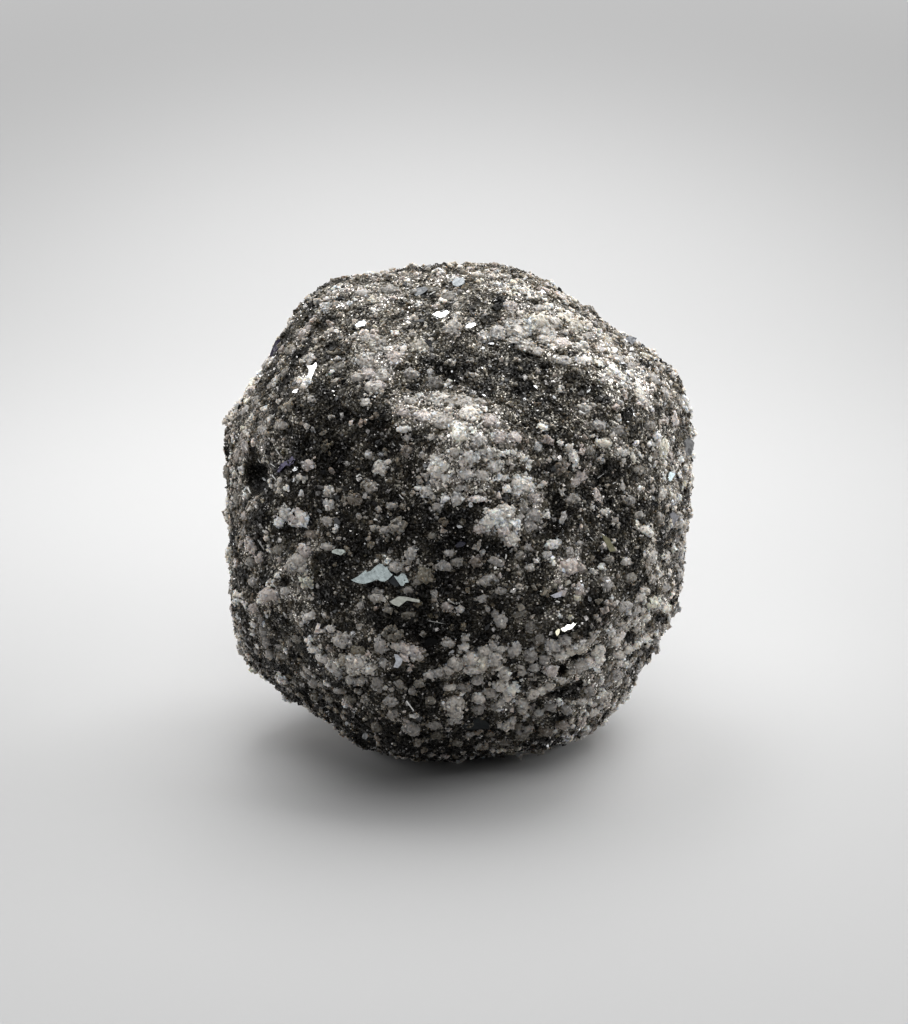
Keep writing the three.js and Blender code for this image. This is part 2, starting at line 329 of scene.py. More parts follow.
    (340, 489, 12, 10, 0, -0.25), (342, 719, 20, 10, 30, -0.35), (561, 469, 12, 8, 0, -0.3),
    (274, 349, 14, 14, 0, -0.4), (232, 541, 8, 12, 0, -0.4), (229, 475, 8, 14, 0, -0.35), (690, 446, 8, 12, 0, -0.3),
    (333, 280, 14, 8, 0, -0.35), (645, 547, 12, 10, 0, -0.3), (675, 600, 10, 12, 0, -0.3), (602, 458, 10, 10, 0, -0.5),
    (602, 723, 14, 10, 0, -0.35), (246, 389, 12, 10, 0, -0.3), (305, 299, 12, 8, 0, -0.3), (682, 510, 10, 14, 0, -0.3),
    (261, 675, 14, 10, 0, -0.35), (292, 464, 10, 8, 0, -0.3), (436, 268, 14, 6, 0, -0.25), (640, 378, 12, 8, 0, -0.25),
    (484, 754, 40, 6, 0, -0.4), (512, 360, 12, 6, 0, -0.3), (379, 276, 14, 6, 0, -0.25),
    (270, 578, 12, 8, 0, -0.35), (507, 418, 10, 8, 0, -0.4), (312, 424, 12, 10, 0, -0.5), (390, 629, 14, 8, 0, -0.5),
    (322, 630, 12, 8, 0, -0.3), (373, 544, 12, 8, 0, -0.5), (560, 473, 12, 8, 0, -0.3), (227, 445, 6, 10, 0, -0.3),
    (245, 390, 12, 8, 0, -0.25), (323, 533, 12, 8, 0, -0.3), (476, 265, 14, 6, 0, -0.2), (437, 268, 14, 6, 0, -0.25),
    (431, 295, 14, 8, 0, -0.4), (331, 352, 10, 10, 0, -0.5), (633, 355, 12, 8, 0, -0.3), (384, 547, 14, 8, 0, -0.5),
    (462, 399, 14, 8, 0, -0.3), (454, 285, 14, 8, 0, -0.3), (690, 446, 8, 12, 0, -0.25), (343, 332, 12, 10, 0, -0.3),
    (518, 585, 12, 12, 0, -0.4), (408, 540, 14, 8, 0, -0.4), (506, 726, 14, 9, 0, -0.45), (601, 403, 12, 8, 0, -0.35),
    (510, 318, 12, 8, 0, -0.3), (440, 408, 12, 8, 0, -0.25), (336, 533, 12, 8, 0, -0.35), (354, 651, 10, 8, 0, -0.4),
    (543, 302, 12, 8, 0, -0.25), (331, 281, 12, 8, 0, -0.25), (641, 547, 12, 10, 0, -0.3), (232, 540, 8, 16, 0, -0.3),
    (402, 398, 10, 8, 0, -0.25), (414, 337, 12, 8, 0, -0.25), (589, 321, 14, 8, 0, -0.2), (354, 623, 12, 8, 0, -0.35),
    (447, 597, 16, 10, 0, -0.25), (503, 655, 14, 8, 0, -0.15), (335, 325, 14, 14, 0, -0.5), (437, 345, 14, 10, 0, -0.5), (470, 400, 40, 12, 0, -0.25), (325, 468, 14, 12, 0, -0.35),
    (566, 476, 10, 8, 0, -0.3), (350, 650, 10, 10, 0, -0.3), (510, 637, 14, 10, 0, -0.35), (460, 282, 16, 8, 0, -0.25),
    (400, 595, 14, 8, 0, -0.25), (360, 550, 22, 16, 0, -0.5), (470, 545, 36, 22, 0, -0.5), (350, 612, 24, 10, 0, -0.5), (470, 370, 24, 8, 5, -0.35),
    (470, 400, 20, 5, 0, -0.3), (325, 345, 12, 10, 0, -0.5), (430, 660, 12, 14, 0, -0.5), (300, 705, 50, 10, 38, -0.5),
    (420, 590, 110, 50, 0, -0.25), (515, 505, 10, 5, 0, -0.3), (560, 620, 30, 10, 0, -0.2),
    (352, 440, 34, 42, 20, -0.75), (330, 415, 24, 26, 0, -0.45), (395, 470, 26, 40, 30, -0.5),
    (502, 364, 50, 10, 12, -0.45), (552, 398, 26, 15, 20, -0.35), (440, 375, 30, 10, 10, -0.3),
    (600, 440, 30, 16, 10, -0.1), (430, 520, 42, 17, 5, -0.85), (460, 548, 40, 20, 0, -0.65),
    (350, 520, 36, 26, 0, -0.35), (350, 590, 26, 16, 10, -0.6), (330, 565, 18, 10, 0, -0.5),
    (430, 620, 52, 20, 5, -0.75), (480, 606, 36, 26, 0, -0.6), (450, 580, 50, 16, 0, -0.5),
    (540, 590, 22, 34, 0, -0.45), (560, 510, 20, 26, 0, -0.35), (610, 500, 30, 30, 0, -0.45),
    (612, 540, 30, 16, 0, -0.4), (620, 580, 26, 18, 0, -0.4), (590, 605, 24, 14, 0, -0.3),
    (450, 738, 110, 14, 0, -0.7), (330, 690, 60, 12, 38, -0.45), (258, 630, 14, 26, -20, -0.3),
    (300, 440, 22, 14, -30, -0.3), (320, 480, 22, 20, 0, -0.35), (430, 690, 26, 12, 20, -0.4),
    (477, 722, 22, 12, 0, -0.7), (550, 720, 40, 12, -10, -0.3), (420, 430, 14, 22, 20, -0.3),
    (405, 385, 14, 8, 20, -0.3), (530, 430, 14, 10, 0, -0.1),
]
# Pits, in picture coordinates (middle x, y, half lengths, turn): the surface sinks there, and the body is painted
# nearly black in them, painted shade.
PITS = [(257, 477, 14, 20, 0), (573, 657, 9, 4, -20), (562, 670, 6, 5, -20), (628, 636, 7, 4, -40)]

# ------------------------------------------------------------------ features seen one by one
# Pale knobs of the side that faces the camera, in picture coordinates: middle x, y, half
# lengths, turn in degrees (clockwise), paleness, hue (0 cream, 2 pinkish, 4 yellowish, 6 grey).
KNOBS = [
    # top, from the left
    (362, 292, 9, 5, 10, .42, 6), (373, 308, 3, 3, 0, .7, 6), (335, 330, 5, 3, 0, .6, 6), (301, 331, 7, 6, 0, .45, 2),
    (307, 326, 4, 4, 0, .35, 2), (365, 360, 9, 8, 0, .42, 0), (368, 373, 8, 8, 0, .42, 2), (357, 377, 6, 6, 0, .35, 0),
    (372, 387, 8, 7, 0, .42, 0), (366, 337, 6, 6, 0, .36, 0), (375, 344, 8, 7, 0, .35, 4), (365, 401, 6, 5, 0, .41, 6),
    (310, 398, 5, 4, 0, .28, 6), (246, 410, 8, 5, -30, .28, 6), (319, 291, 5, 4, 0, .28, 6), (331, 371, 4, 2, -30, .8, 6),
    (455, 318, 4, 5, 0, .4, 0), (453, 328, 9, 8, 0, .36, 0), (485, 335, 8, 7, 0, .34, 6), (497, 333, 9, 8, 0, .36, 6),
    (518, 330, 13, 12, 0, .46, 0), (531, 323, 10, 9, 0, .50, 4), (511, 323, 8, 7, 0, .27, 0), (542, 321, 10, 8, 0, .50, 4),
    (547, 331, 9, 8, 0, .50, 0), (527, 344, 10, 7, 0, .42, 0), (516, 341, 9, 7, 0, .34, 0), (538, 350, 7, 5, 0, .36, 0),
    (511, 304, 8, 6, 20, .40, 2), (539, 307, 7, 4, 0, .40, 0), (524, 268, 5, 4, 0, .45, 4), (477, 263, 5, 4, 0, .38, 4),
    (497, 263, 5, 4, 0, .25, 6), (477, 274, 6, 5, 0, .45, 0), (409, 273, 9, 6, 0, .26, 0), (492, 275, 4, 3, 0, .5, 0),
    (379, 340, 8, 7, 0, .30, 0), (400, 348, 8, 6, 0, .50, 0), (419, 346, 10, 8, 0, .40, 4), (393, 358, 9, 7, 0, .42, 2),
    (382, 374, 8, 7, 0, .40, 0), (377, 385, 8, 6, 0, .42, 2), (434, 380, 9, 7, 0, .30, 6), (430, 371, 4, 4, 0, .4, 6),
    (410, 372, 9, 6, 20, .31, 6), (430, 288, 10, 5, 0, .15, 6), (450, 296, 10, 6, 0, .24, 6), (390, 290, 12, 6, 0, .24, 6),
    # the nose
    (439, 399, 14, 8, 5, .40, 0), (460, 403, 14, 8, 0, .29, 0), (422, 415, 11, 6, 10, .48, 2), (441, 420, 12, 8, 0, .42, 0),
    (457, 424, 8, 6, 0, .55, 0), (460, 434, 8, 9, 0, .88, 4), (471, 413, 12, 8, 0, .42, 0), (491, 420, 10, 7, 0, .38, 2),
    (480, 402, 10, 6, 10, .29, 0), (405, 412, 10, 5, 10, .34, 2), (410, 400, 9, 4, 10, .3, 0), (500, 436, 8, 7, 0, .34, 2),
    (479, 440, 9, 6, 0, .34, 6), (490, 452, 10, 7, 0, .42, 0), (470, 456, 9, 7, 0, .56, 6), (455, 452, 7, 5, 0, .42, 0),
    (403, 429, 8, 4, 0, .49, 6), (407, 438, 4, 4, 0, .3, 6), (430, 436, 5, 4, 0, .43, 0), (435, 459, 7, 5, 0, .50, 0),
    (438, 469, 10, 10, 0, .50, 0), (445, 478, 5, 5, 0, .5, 0), (495, 435, 5, 4, 0, .5, 0), (515, 437, 8, 6, 0, .34, 2),
    (501, 453.5, 4, 2.5, -10, .62, 0), (507, 452.5, 4, 2.5, -10, .8, 0), (513, 452.5, 4, 3, 20, .85, 0),
    (519, 455.5, 4, 3, 30, .85, 0), (525, 457.5, 4, 3, 20, .85, 0), (530, 460.5, 3, 2.5, 40, .85, 0), (529, 466, 4, 3, 0, .7, 0),
    (524, 484, 12, 8, 10, .55, 0), (507, 489, 6, 5, 0, .66, 0), (518, 492, 6, 5, 0, .55, 0), (519, 477, 6, 5, 0, .5, 4),
    (505, 477, 4, 4, 0, .5, 6), (543, 427, 6, 4, 25, .75, 4), (538, 446, 4, 6, 0, .4, 7), (498, 515, 9, 8, 0, .62, 0),
    (506, 512, 8, 8, 0, .46, 0), (489, 522, 10, 8, -20, .62, 0), (501, 524, 9, 7, 0, .62, 0), (480, 529, 7, 5, 0, .38, 2),
    (511, 539, 9, 8, 0, .45, 0), (503, 531, 6, 6, 0, .54, 2), (426, 492, 6, 7, 0, .42, 6), (418, 488, 5, 3, 0, .42, 6),
    (445, 499, 5, 4, 0, .6, 6), (458, 500, 7, 7, 0, .36, 6), (478, 499, 9, 4, 0, .60, 2), (437, 507, 5, 5, 0, .3, 6),
    (535, 498, 8, 6, 20, .38, 2), (523, 508, 6, 8, 0, .21, 6), (533, 515, 8, 7, 0, .28, 6), (548, 515, 4, 4, 0, .6, 0),
    (531, 526, 7, 6, 0, .29, 6), (380, 468, 7, 9, -20, .42, 0), (392, 506, 6, 4, 0, .28, 6), (385, 530, 6, 5, 0, .26, 6),
    (466, 474, 9, 6, 0, .40, 6), (482, 476, 9, 6, 0, .42, 0), (495, 466, 9, 6, 0, .46, 6), (462, 488, 7, 4, 0, .34, 6),
    # left
    (241, 436, 5, 9, 10, .26, 2), (244, 446, 9, 6, 40, .28, 2), (236, 455, 6, 8, 0, .24, 2), (308, 465, 6, 6, 0, .34, 2),
    (300, 477, 7, 4, 10, .46, 0), (326, 491, 6, 6, 0, .46, 0), (368, 454, 5, 6, 0, .34, 6), (370, 487, 6, 7, 0, .28, 0),
    (355, 499, 8, 6, 0, .18, 2), (298, 518, 11, 9, 20, .51, 2), (284, 512, 7, 7, 30, .43, 6), (278, 522, 6, 6, 0, .60, 6),
    (326, 521, 6, 5, 0, .28, 6), (304, 551, 7, 7, 0, .32, 2), (296, 562, 12, 8, -30, .34, 0), (288, 568, 6, 5, 0, .34, 0),
    (302, 568, 6, 6, 0, .38, 0), (326, 547, 8, 4, 0, .32, 0), (259, 558, 5, 6, 0, .38, 2), (249, 563, 5, 6, 0, .22, 6),
    (251, 582, 5, 6, 30, .32, 6), (284, 591, 5, 5, 0, .38, 6), (267, 595, 10, 8, -20, .38, 2), (244, 515, 6, 5, 40, .28, 2),
    (248, 510, 3, 3, 0, .4, 0), (242, 532, 5, 5, 0, .22, 6), (236, 500, 5, 8, 0, .2, 6), (278, 550, 7, 6, 0, .2, 6),
    (310, 535, 8, 5, 0, .18, 2), (338, 365, 6, 5, 0, .24, 6), (285, 372, 7, 5, -30, .24, 6), (270, 385, 8, 5, -40, .24, 6),
    (255, 400, 6, 6, 0, .24, 6), (290, 350, 8, 7, 0, .2, 0), (262, 430, 8, 5, 20, .24, 6), (280, 425, 8, 6, 0, .2, 0),
    # middle
    (411, 554, 6, 7, 0, .33, 6), (449, 553, 6, 4, 15, .33, 6), (476, 562, 8, 6, 20, .22, 2), (445, 567, 9, 6, 20, .28, 6),
    (457, 563, 7, 5, 0, .2, 6), (497, 562, 8, 5, 20, .26, 6), (396, 566, 7, 6, 0, .33, 6), (426, 576, 8, 8, 0, .16, 4),
    (487, 581, 11, 6, -15, .28, 6), (417, 582, 5, 5, 0, .22, 6), (408, 591, 5, 4, 0, .28, 6), (434, 594, 4, 5, 0, .28, 6),
    (377, 593, 7, 5, 0, .28, 6), (530, 568, 5, 5, 0, .3, 6), (536, 561, 2.5, 2.5, 0, .8, 6), (547, 555, 6, 4, -20, .38, 6),
    (528, 548, 5, 4, 0, .28, 6), (500, 591, 7, 4, 0, .24, 6), (432, 536, 5, 4, 0, .16, 6), (520, 556, 5, 5, 0, .2, 6),
    (376, 599, 8, 5, 10, .34, 0), (388, 611, 6, 4, 0, .2, 6), (447, 607, 7, 5, 20, .28, 2), (460, 609, 5, 4, 0, .42, 6),
    (482, 599, 6, 4, -20, .32, 6), (501, 622, 7, 8, -20, .32, 6), (495, 614, 4, 4, 0, .28, 6), (488, 609, 3, 3, 0, .38, 6),
    (520, 614, 9, 4, -15, .2, 6), (531, 627, 5, 7, 0, .22, 6), (360, 606, 4, 4, 0, .3, 6), (410, 616, 8, 4, 0, .14, 6),
    # right
    (564, 361, 8, 5, 0, .34, 6), (586, 360, 8, 5, 0, .55, 0), (599, 363, 7, 3.5, 35, .75, 4), (614, 368, 8, 5, 30, .75, 0),
    (624, 376, 9, 4, 35, .75, 0), (639, 386, 8, 4, 50, .65, 0), (641, 395, 6, 9, -25, .52, 4), (645, 402, 6, 5, 0, .46, 2),
    (674, 418, 7, 8, 10, .46, 2), (646, 355, 6, 5, 0, .34, 5), (677, 373, 8, 5, 45, .34, 5), (652, 355, 5, 4, 0, .46, 0),
    (547, 283, 6, 5, 40, .42, 2), (561, 296, 9, 5, 50, .52, 2), (571, 295, 12, 3.5, 50, .48, 6), (569, 310, 10, 3, 5, .90, 0),
    (565, 315, 9, 6, 0, .46, 4), (576, 326, 9, 8, 0, .42, 4), (553, 322, 9, 7, 0, .50, 0), (547, 339, 9, 6, 0, .46, 0),
    (562, 342, 10, 6, 10, .50, 2), (608, 338, 8, 6, 30, .42, 4), (602, 348, 6, 5, 0, .46, 2), (616, 348, 4, 4, 0, .55, 0),
    (575, 345, 9, 5, 10, .42, 0), (590, 336, 7, 5, 20, .34, 6), (620, 356, 8, 5, 30, .34, 6), (632, 366, 7, 5, 30, .29, 6),
    (655, 378, 8, 5, 45, .3, 6), (665, 392, 7, 6, 45, .3, 6), (605, 325, 8, 4, 35, .3, 6), (625, 343, 8, 4, 35, .21, 6),
    (575, 458, 5, 10, -20, .50, 0), (570, 448, 5, 5, 0, .42, 0), (561, 443, 3, 3, 0, .6, 0), (583, 475, 9, 6, -40, .38, 2),
    (576, 482, 7, 5, -20, .28, 2), (574, 499, 8, 6, 0, .22, 6), (603, 443, 9, 5, 0, .50, 4), (622, 452, 8, 5, 0, .50, 0),
    (633, 457, 3, 6, -15, .50, 4), (623, 461, 3, 4, 0, .4, 0), (664, 448, 6, 11, 0, .55, 5), (671, 456, 5, 6, 0, .36, 2),
    (676, 421, 6, 5, 0, .50, 2), (649, 444, 3, 3, 0, .8, 6), (624, 487, 3, 5, 0, .38, 6), (631, 500, 6, 6, 0, .24, 6),
    (662, 494, 6, 8, 20, .38, 0), (678, 500, 7, 5, 0, .36, 7), (685, 510, 7, 3, -20, .47, 6), (598, 496, 4, 10, -20, .38, 2),
    (605, 512, 6, 5, 0, .40, 0), (593, 507, 3, 3, 0, .36, 6), (564, 517, 3, 7, 25, .36, 6), (638, 525, 4, 8, -20, .55, 0),
    (648, 531, 9, 5, 30, .55, 0), (641, 515, 6, 5, 0, .26, 6), (603.5, 536, 3.5, 2, 30, .7, 0), (553, 544, 8, 5, -15, .58, 0),
    (580, 543, 4, 3, 0, .38, 6), (570, 553, 5, 7, 0, .32, 6), (569, 567, 10, 9, 0, .40, 2), (581, 568, 6, 6, 0, .32, 2),
    (580, 590, 5, 8, 0, .36, 2), (607, 583, 6, 8, 0, .32, 6), (651, 557, 7, 8, 30, .34, 0), (668, 558, 5, 8, 0, .48, 0),
    (626, 562, 5, 5, 0, .36, 6), (648, 569, 4, 4, 0, .34, 0), (652, 578, 7, 6, 0, .32, 0), (631, 578, 7, 6, 0, .2, 6),
    (644, 592, 8, 6, 0, .36, 0), (666, 588, 7, 6, 0, .26, 6), (679, 575, 6, 8, 0, .32, 6), (688, 535, 3, 9, 0, .46, 5),
    (687, 545, 4, 8, 0, .36, 6), (692, 464, 4, 5, 0, .42, 0), (600, 425, 8, 6, 0, .36, 6), (620, 430, 8, 5, 0, .24, 6),
    (640, 470, 7, 5, 0, .22, 6), (660, 520, 7, 8, 0, .22, 6), (590, 450, 6, 5, 0, .2, 6), (650, 425, 6, 6, 0, .22, 6),
    (680, 400, 5, 8, 20, .26, 6), (685, 480, 6, 8, 0, .22, 6), (680, 550, 6, 8, 0, .26, 6), (610, 560, 6, 5, 0, .2, 6),
    # lower left
    (253, 608, 6, 6, 0, .34, 2), (308, 617, 8, 5, -30, .42, 6), (302, 624, 5, 3, -30, .4, 6), (331, 629, 6, 4, 10, .37, 6),
    (342, 640, 8, 9, -20, .34, 6), (262, 631, 4, 8, -10, .28, 6), (260, 620, 3, 6, 0, .34, 6), (266, 642, 4, 7, -10, .26, 6),
    (269, 655, 5, 6, -20, .26, 6), (256, 653, 4, 3, 30, .3, 6), (252, 634, 3, 2, 30, .6, 6), (313, 650, 8, 4, 20, .50, 6),
    (321, 658, 8, 6, 30, .46, 6), (333, 668, 8, 6, 30, .36, 6), (337, 673, 6, 5, 0, .34, 6), (308, 670, 7, 4, 45, .30, 6),
    (304, 676, 7, 3, 45, .32, 6), (313, 684, 6, 5, 0, .28, 6), (321, 685, 5, 4, 0, .26, 6), (283, 656, 7, 3, 25, .22, 6),
    (288, 644, 6, 4, 20, .22, 6), (278, 648, 6, 3, 20, .22, 6), (358, 663, 14, 9, 10, .38, 0), (346, 659, 7, 6, 0, .26, 4),
    (368, 668, 8, 7, 0, .52, 0), (358, 651, 8, 5, 0, .16, 4), (354, 669, 8, 6, 0, .42, 0), (359, 682, 8, 6, 0, .34, 6),
    (351, 680, 6, 5, 0, .28, 6), (380, 646, 6, 9, 0, .30, 6), (382, 664, 5, 5, 0, .36, 6), (377, 682, 5, 7, -45, .28, 6),
    (376, 728, 6, 6, 0, .15, 6), (314, 698, 5, 5, 0, .22, 6), (339, 691, 8, 4, 0, .2, 6), (283, 682, 8, 6, 20, .18, 6),
    (295, 640, 7, 4, 20, .2, 6), (330, 700, 6, 4, 0, .16, 6), (350, 700, 7, 5, 0, .16, 6), (365, 700, 6, 5, 0, .2, 6),
    # lower middle
    (404, 649, 11, 6, 25, .42, 2), (416, 652, 9, 6, 15, .40, 2), (396, 647, 7, 4, 25, .46, 0), (404, 657, 7, 3.5, 35, .42, 2),
    (420, 658, 5, 4, 0, .36, 0), (448, 643, 8, 4, 0, .34, 6), (463, 646, 7, 5, 30, .40, 6), (465, 638, 5, 4, 0, .34, 6),
    (455, 663, 9, 8, 0, .37, 0), (448, 670, 7, 5, 0, .36, 0), (471, 659, 9, 8, 0, .46, 0), (473, 670, 10, 6, 0, .50, 0),
    (482, 663, 9, 8, 0, .44, 4), (485, 652, 8, 6, 0, .40, 0), (493, 646, 5, 5, 0, .36, 6), (496, 659, 9, 8, 0, .46, 0),
    (501, 667, 8, 4, -10, .55, 0), (504, 675, 7, 8, 0, .46, 0), (501, 684, 9, 7, -30, .46, 0), (511, 689, 10, 7, -45, .52, 0),
    (508, 697, 6, 4, -30, .50, 0), (500, 703, 6, 4, -30, .42, 0), (490, 693, 7, 6, 0, .40, 0), (478, 698, 8, 6, 0, .46, 0),
    (477, 681, 7, 5, 0, .30, 6), (515, 650, 6, 8, 30, .34, 6), (500, 650, 6, 4, 0, .34, 6), (522, 673, 5, 4, 0, .40, 0),
    (531, 655, 8, 7, 0, .28, 6), (450, 689, 8, 4, -15, .36, 0), (464, 689, 8, 5, 0, .22, 6), (429, 675, 6, 4, 0, .36, 6),
    (439, 673, 7, 5, 0, .26, 6), (412, 691, 5, 4, 0, .22, 6), (454, 704, 11, 8, 0, .34, 0), (455, 714, 8, 7, 0, .38, 0),
    (444, 706, 5, 4, 0, .38, 0), (455, 722, 8, 4, 0, .34, 6), (478, 711, 8, 5, 0, .26, 6), (523, 707, 6, 9, 0, .40, 0),
    (540, 714, 6, 4, 0, .36, 0), (533, 693, 8, 5, -25, .40, 0), (542, 690, 6, 5, -25, .48, 0), (495, 707, 5, 4, 0, .22, 6),
    (391, 702, 8, 6, 0, .24, 6), (394, 713, 6, 5, 0, .26, 6), (377, 687, 7, 4, 40, .26, 6), (412, 728, 8, 8, 0, .26, 6),
    (434, 724, 9, 4, 0, .2, 6), (419, 741, 6, 3, -20, .2, 6), (471, 735, 8, 3, -15, .26, 6), (457, 742, 6, 4, 0, .14, 6),
    (504, 743, 6, 4, 0, .2, 6), (524, 737, 8, 6, -20, .2, 6), (518, 727, 6, 4, 0, .17, 6), (430, 700, 6, 5, 0, .18, 6),
    (420, 683, 6, 4, 0, .2, 6), (400, 685, 6, 5, 30, .2, 6), (436, 735, 7, 5, 0, .12, 6), (490, 735, 6, 4, 0, .14, 6),
    # lower right
    (652, 602, 9, 7, -30, .46, 5), (666, 608, 7, 5, -10, .59, 4), (646, 618, 5, 6, 0, .63, 0), (640, 597, 8, 6, -30, .36, 0),
    (625, 606, 8, 5, -30, .26, 6), (636, 611, 7, 5, -30, .34, 6), (625, 624, 8, 6, 0, .36, 0), (637, 629, 6, 4, 0, .36, 0),
    (611, 632, 5, 5, 0, .45, 6), (622, 637, 7, 6, -40, .50, 2), (615, 641, 7, 5, -40, .50, 0), (645, 639, 8, 5, -20, .55, 0),
    (636, 644, 8, 6, -25, .55, 0), (628, 650, 6, 5, 0, .50, 0), (669, 622, 5, 5, 0, .41, 6), (657, 639, 6, 5, 0, .30, 6),
    (590, 640, 9, 4, -40, .34, 0), (580, 648, 8, 5, -30, .42, 4), (563, 657, 9, 4, -20, .55, 0), (572, 652, 7, 4, -25, .53, 4),
    (553, 647, 8, 7, 0, .40, 6), (599, 651, 8, 6, -30, .48, 0), (599, 660, 7, 6, 0, .55, 0), (620, 656, 8, 5, 20, .40, 0),
    (619, 663, 6, 4, -20, .40, 0), (579, 668, 14, 7, -25, .39, 0), (590, 663, 7, 6, 0, .53, 2), (598, 670, 4, 6, -20, .55, 6),
    (552, 671, 7, 7, 0, .41, 2), (563, 681, 10, 4, 5, .41, 0), (550, 686, 7, 5, -20, .36, 0), (615, 676, 9, 8, 0, .26, 6),
    (629, 666, 6, 4, -20, .30, 6), (640, 665, 6, 5, 0, .32, 6), (626, 679, 5, 4, 0, .28, 6), (623, 696, 4, 6, 30, .26, 6),
    (603, 697, 9, 8, 0, .34, 0), (582, 702, 6, 5, 0, .36, 6), (594, 704, 6, 4, 0, .34, 0), (593, 713, 8, 6, -30, .36, 0),
    (582, 722, 5, 8, 10, .34, 2), (610, 715, 6, 4, -40, .24, 6), (540, 714, 6, 4, -10, .38, 0), (567, 711, 7, 5, 20, .26, 6),
    (553, 709, 7, 5, 0, .26, 6), (562, 725, 8, 5, 0, .22, 2), (547, 732, 9, 5, 0, .17, 2), (585, 732, 8, 4, -15, .24, 6),
    (568, 743, 8, 3.5, -10, .20, 6), (565, 640, 7, 6, 0, .33, 6), (545, 660, 6, 6, 0, .3, 6), (540, 640, 7, 6, 0, .24, 6),
    (641, 655, 5, 3, 0, .25, 6), (608, 685, 6, 5, 0, .28, 6), (590, 690, 6, 5, 0, .26, 6), (535, 668, 6, 5, 0, .28, 6),
]
# Small black places among them, dark stone and painted shade in the crevices between the knobs: middle x, y, half
# lengths, turn.
GAPS = [
    (428, 295, 10, 6, 30), (402, 302, 4, 2.5, 0), (427, 360, 8, 5, 0), (468, 371, 9, 4, 10), (414, 388, 8, 5, 20),
    (453, 379, 9, 4, 20), (523, 353, 9, 4, 30), (519, 370, 12, 8, 0), (525, 388, 11, 7, 0), (500, 302, 8, 6, 40),
    (378, 414, 12, 8, 0), (604, 401, 9, 3, 10), (623, 416, 8, 5, 0), (632, 410, 6, 3, 0), (546, 400, 8, 4, 0),
    (566, 354, 9, 3, 10), (646, 365, 5, 3, 20), (306, 443, 8, 5, -30), (262, 520, 9, 6, 20), (285, 580, 7, 5, -30),
    (337, 569, 12, 12, 0), (358, 484, 7, 6, 0), (450, 519, 20, 8, 0), (408, 512, 18, 5, -10), (486, 566, 5, 7, 0),
    (507, 574, 8, 5, 0), (440, 585, 12, 7, 0), (470, 590, 9, 5, 0), (638, 556, 6, 5, 0), (608, 504, 4, 4, 0),
    (589, 538, 6, 4, 0), (541, 594, 9, 4, 0), (605, 470, 5, 7, 0), (555, 465, 10, 7, 0), (285, 671, 12, 5, 40),
    (363, 646, 8, 4, 0), (331, 712, 13, 7, 20), (358, 737, 14, 7, 20), (295, 657, 7, 3, 10), (314, 663, 6, 4, 30),
    (305, 692, 8, 4, 30), (431, 642, 7, 5, 0), (439, 659, 13, 8, 0), (441, 626, 14, 6, 10), (487, 637, 10, 5, 20),
    (464, 679, 8, 2.5, 10), (493, 681, 5, 3, 0), (410, 750, 26, 6, 5), (518, 677, 7, 4, 10), (512, 661, 8, 3.5, 0),
    (574, 658, 6, 3, -20), (561, 670, 5, 6, -20), (628, 640, 4, 4, -30), (652, 627, 4, 3, 0), (660, 618, 5, 4, 0),
    (564, 693, 16, 5, 5), (580, 684, 5, 6, 0), (592, 650, 7, 2.5, -40), (534, 704, 7, 4, -20), (562, 718, 6, 5, 0),
    (604, 657, 4, 5, 0), (650, 652, 8, 3.5, -25), (606, 714, 3.5, 8, 25), (540, 745, 14, 5, 0), (418, 735, 5, 4, 0),
    (393, 675, 7, 4, 0), (470, 724, 12, 6, -10), (440, 745, 18, 5, 0), (345, 600, 9, 6, 0), (395, 625, 9, 5, 0),
    (420, 605, 12, 6, 0), (540, 610, 8, 6, 0), (330, 450, 14, 12, 0), (345, 415, 12, 10, 0), (322, 590, 9, 6, 0),
]
# Thin blades, painted pale as a highlight: both ends, width.
BLADES = [
    (244.6, 444.7, 251, 451.6, 1.4), (253.8, 456.2, 259.5, 461.3, 2.0), (269.3, 462.5, 276.2, 467, 1.4),
    (275, 447.6, 279.6, 454.4, 1.4), (269.3, 474, 274.5, 480.3, 1.5), (244.6, 486.6, 250.3, 494.6, 1.8),
    (279.6, 503.2, 290, 513.6, 1.3), (283.6, 502, 287, 505.5, 2.0), (257.8, 537.7, 265.8, 550.9, 1.5),
    (264, 529, 267, 532.5, 2.4), (291.7, 576.7, 294.5, 580.7, 1.8), (265.8, 421, 268.4, 424.8, 2.4),
    (240.6, 596.8, 243.8, 600.5, 1.3), (239.4, 468, 243, 473.4, 1.8), (399.3, 494.6, 405, 500.4, 1.8),
    (393, 442.4, 396.4, 445.8, 1.6), (376, 444.8, 378.6, 446.8, 2.0), (400, 443, 404.4, 447.6, 1.5),
    (244, 641.7, 253.2, 649.7, 2.2), (405.6, 696.8, 415.4, 710.6, 2.4), (624, 597, 620.7, 601.5, 1.4),
    (453, 274, 456, 279, 1.6), (568, 297, 576, 308, 1.4), (555, 290, 562, 300, 1.2), (579, 411, 588, 415, 2.6),
    (609, 396, 613, 399, 2.2), (616, 400, 623, 404, 1.8), (427, 334, 431, 338, 3.0), (596, 479, 604, 473, 1.3),
    (611, 484, 616, 482, 1.2), (429, 297, 436, 293, 1.0), (406, 285, 414, 288, 1.0), (590, 537, 594, 541, 1.2),
    (555, 601, 561, 602, 1.8), (563, 641, 564.5, 643, 2.0), (546, 560, 549, 559, 1.2), (285, 594, 288, 598, 1.4),
    (284, 610, 287, 614, 1.2), (430, 592, 437, 598, 0.8), (425, 620, 445, 624, 0.8), (447, 599, 456, 604, 0.8),
    (457, 678.5, 461, 675, 1.0), (506, 554, 505, 560, 1.6), (374, 518.5, 379, 520.5, 1.8), (357, 478, 362, 474, 2.0),
    (243, 604, 246, 607, 1.0), (285, 555, 288, 553, 1.0), (270, 395, 273, 398, 2.4), (313, 311, 318, 309, 1.4),
]


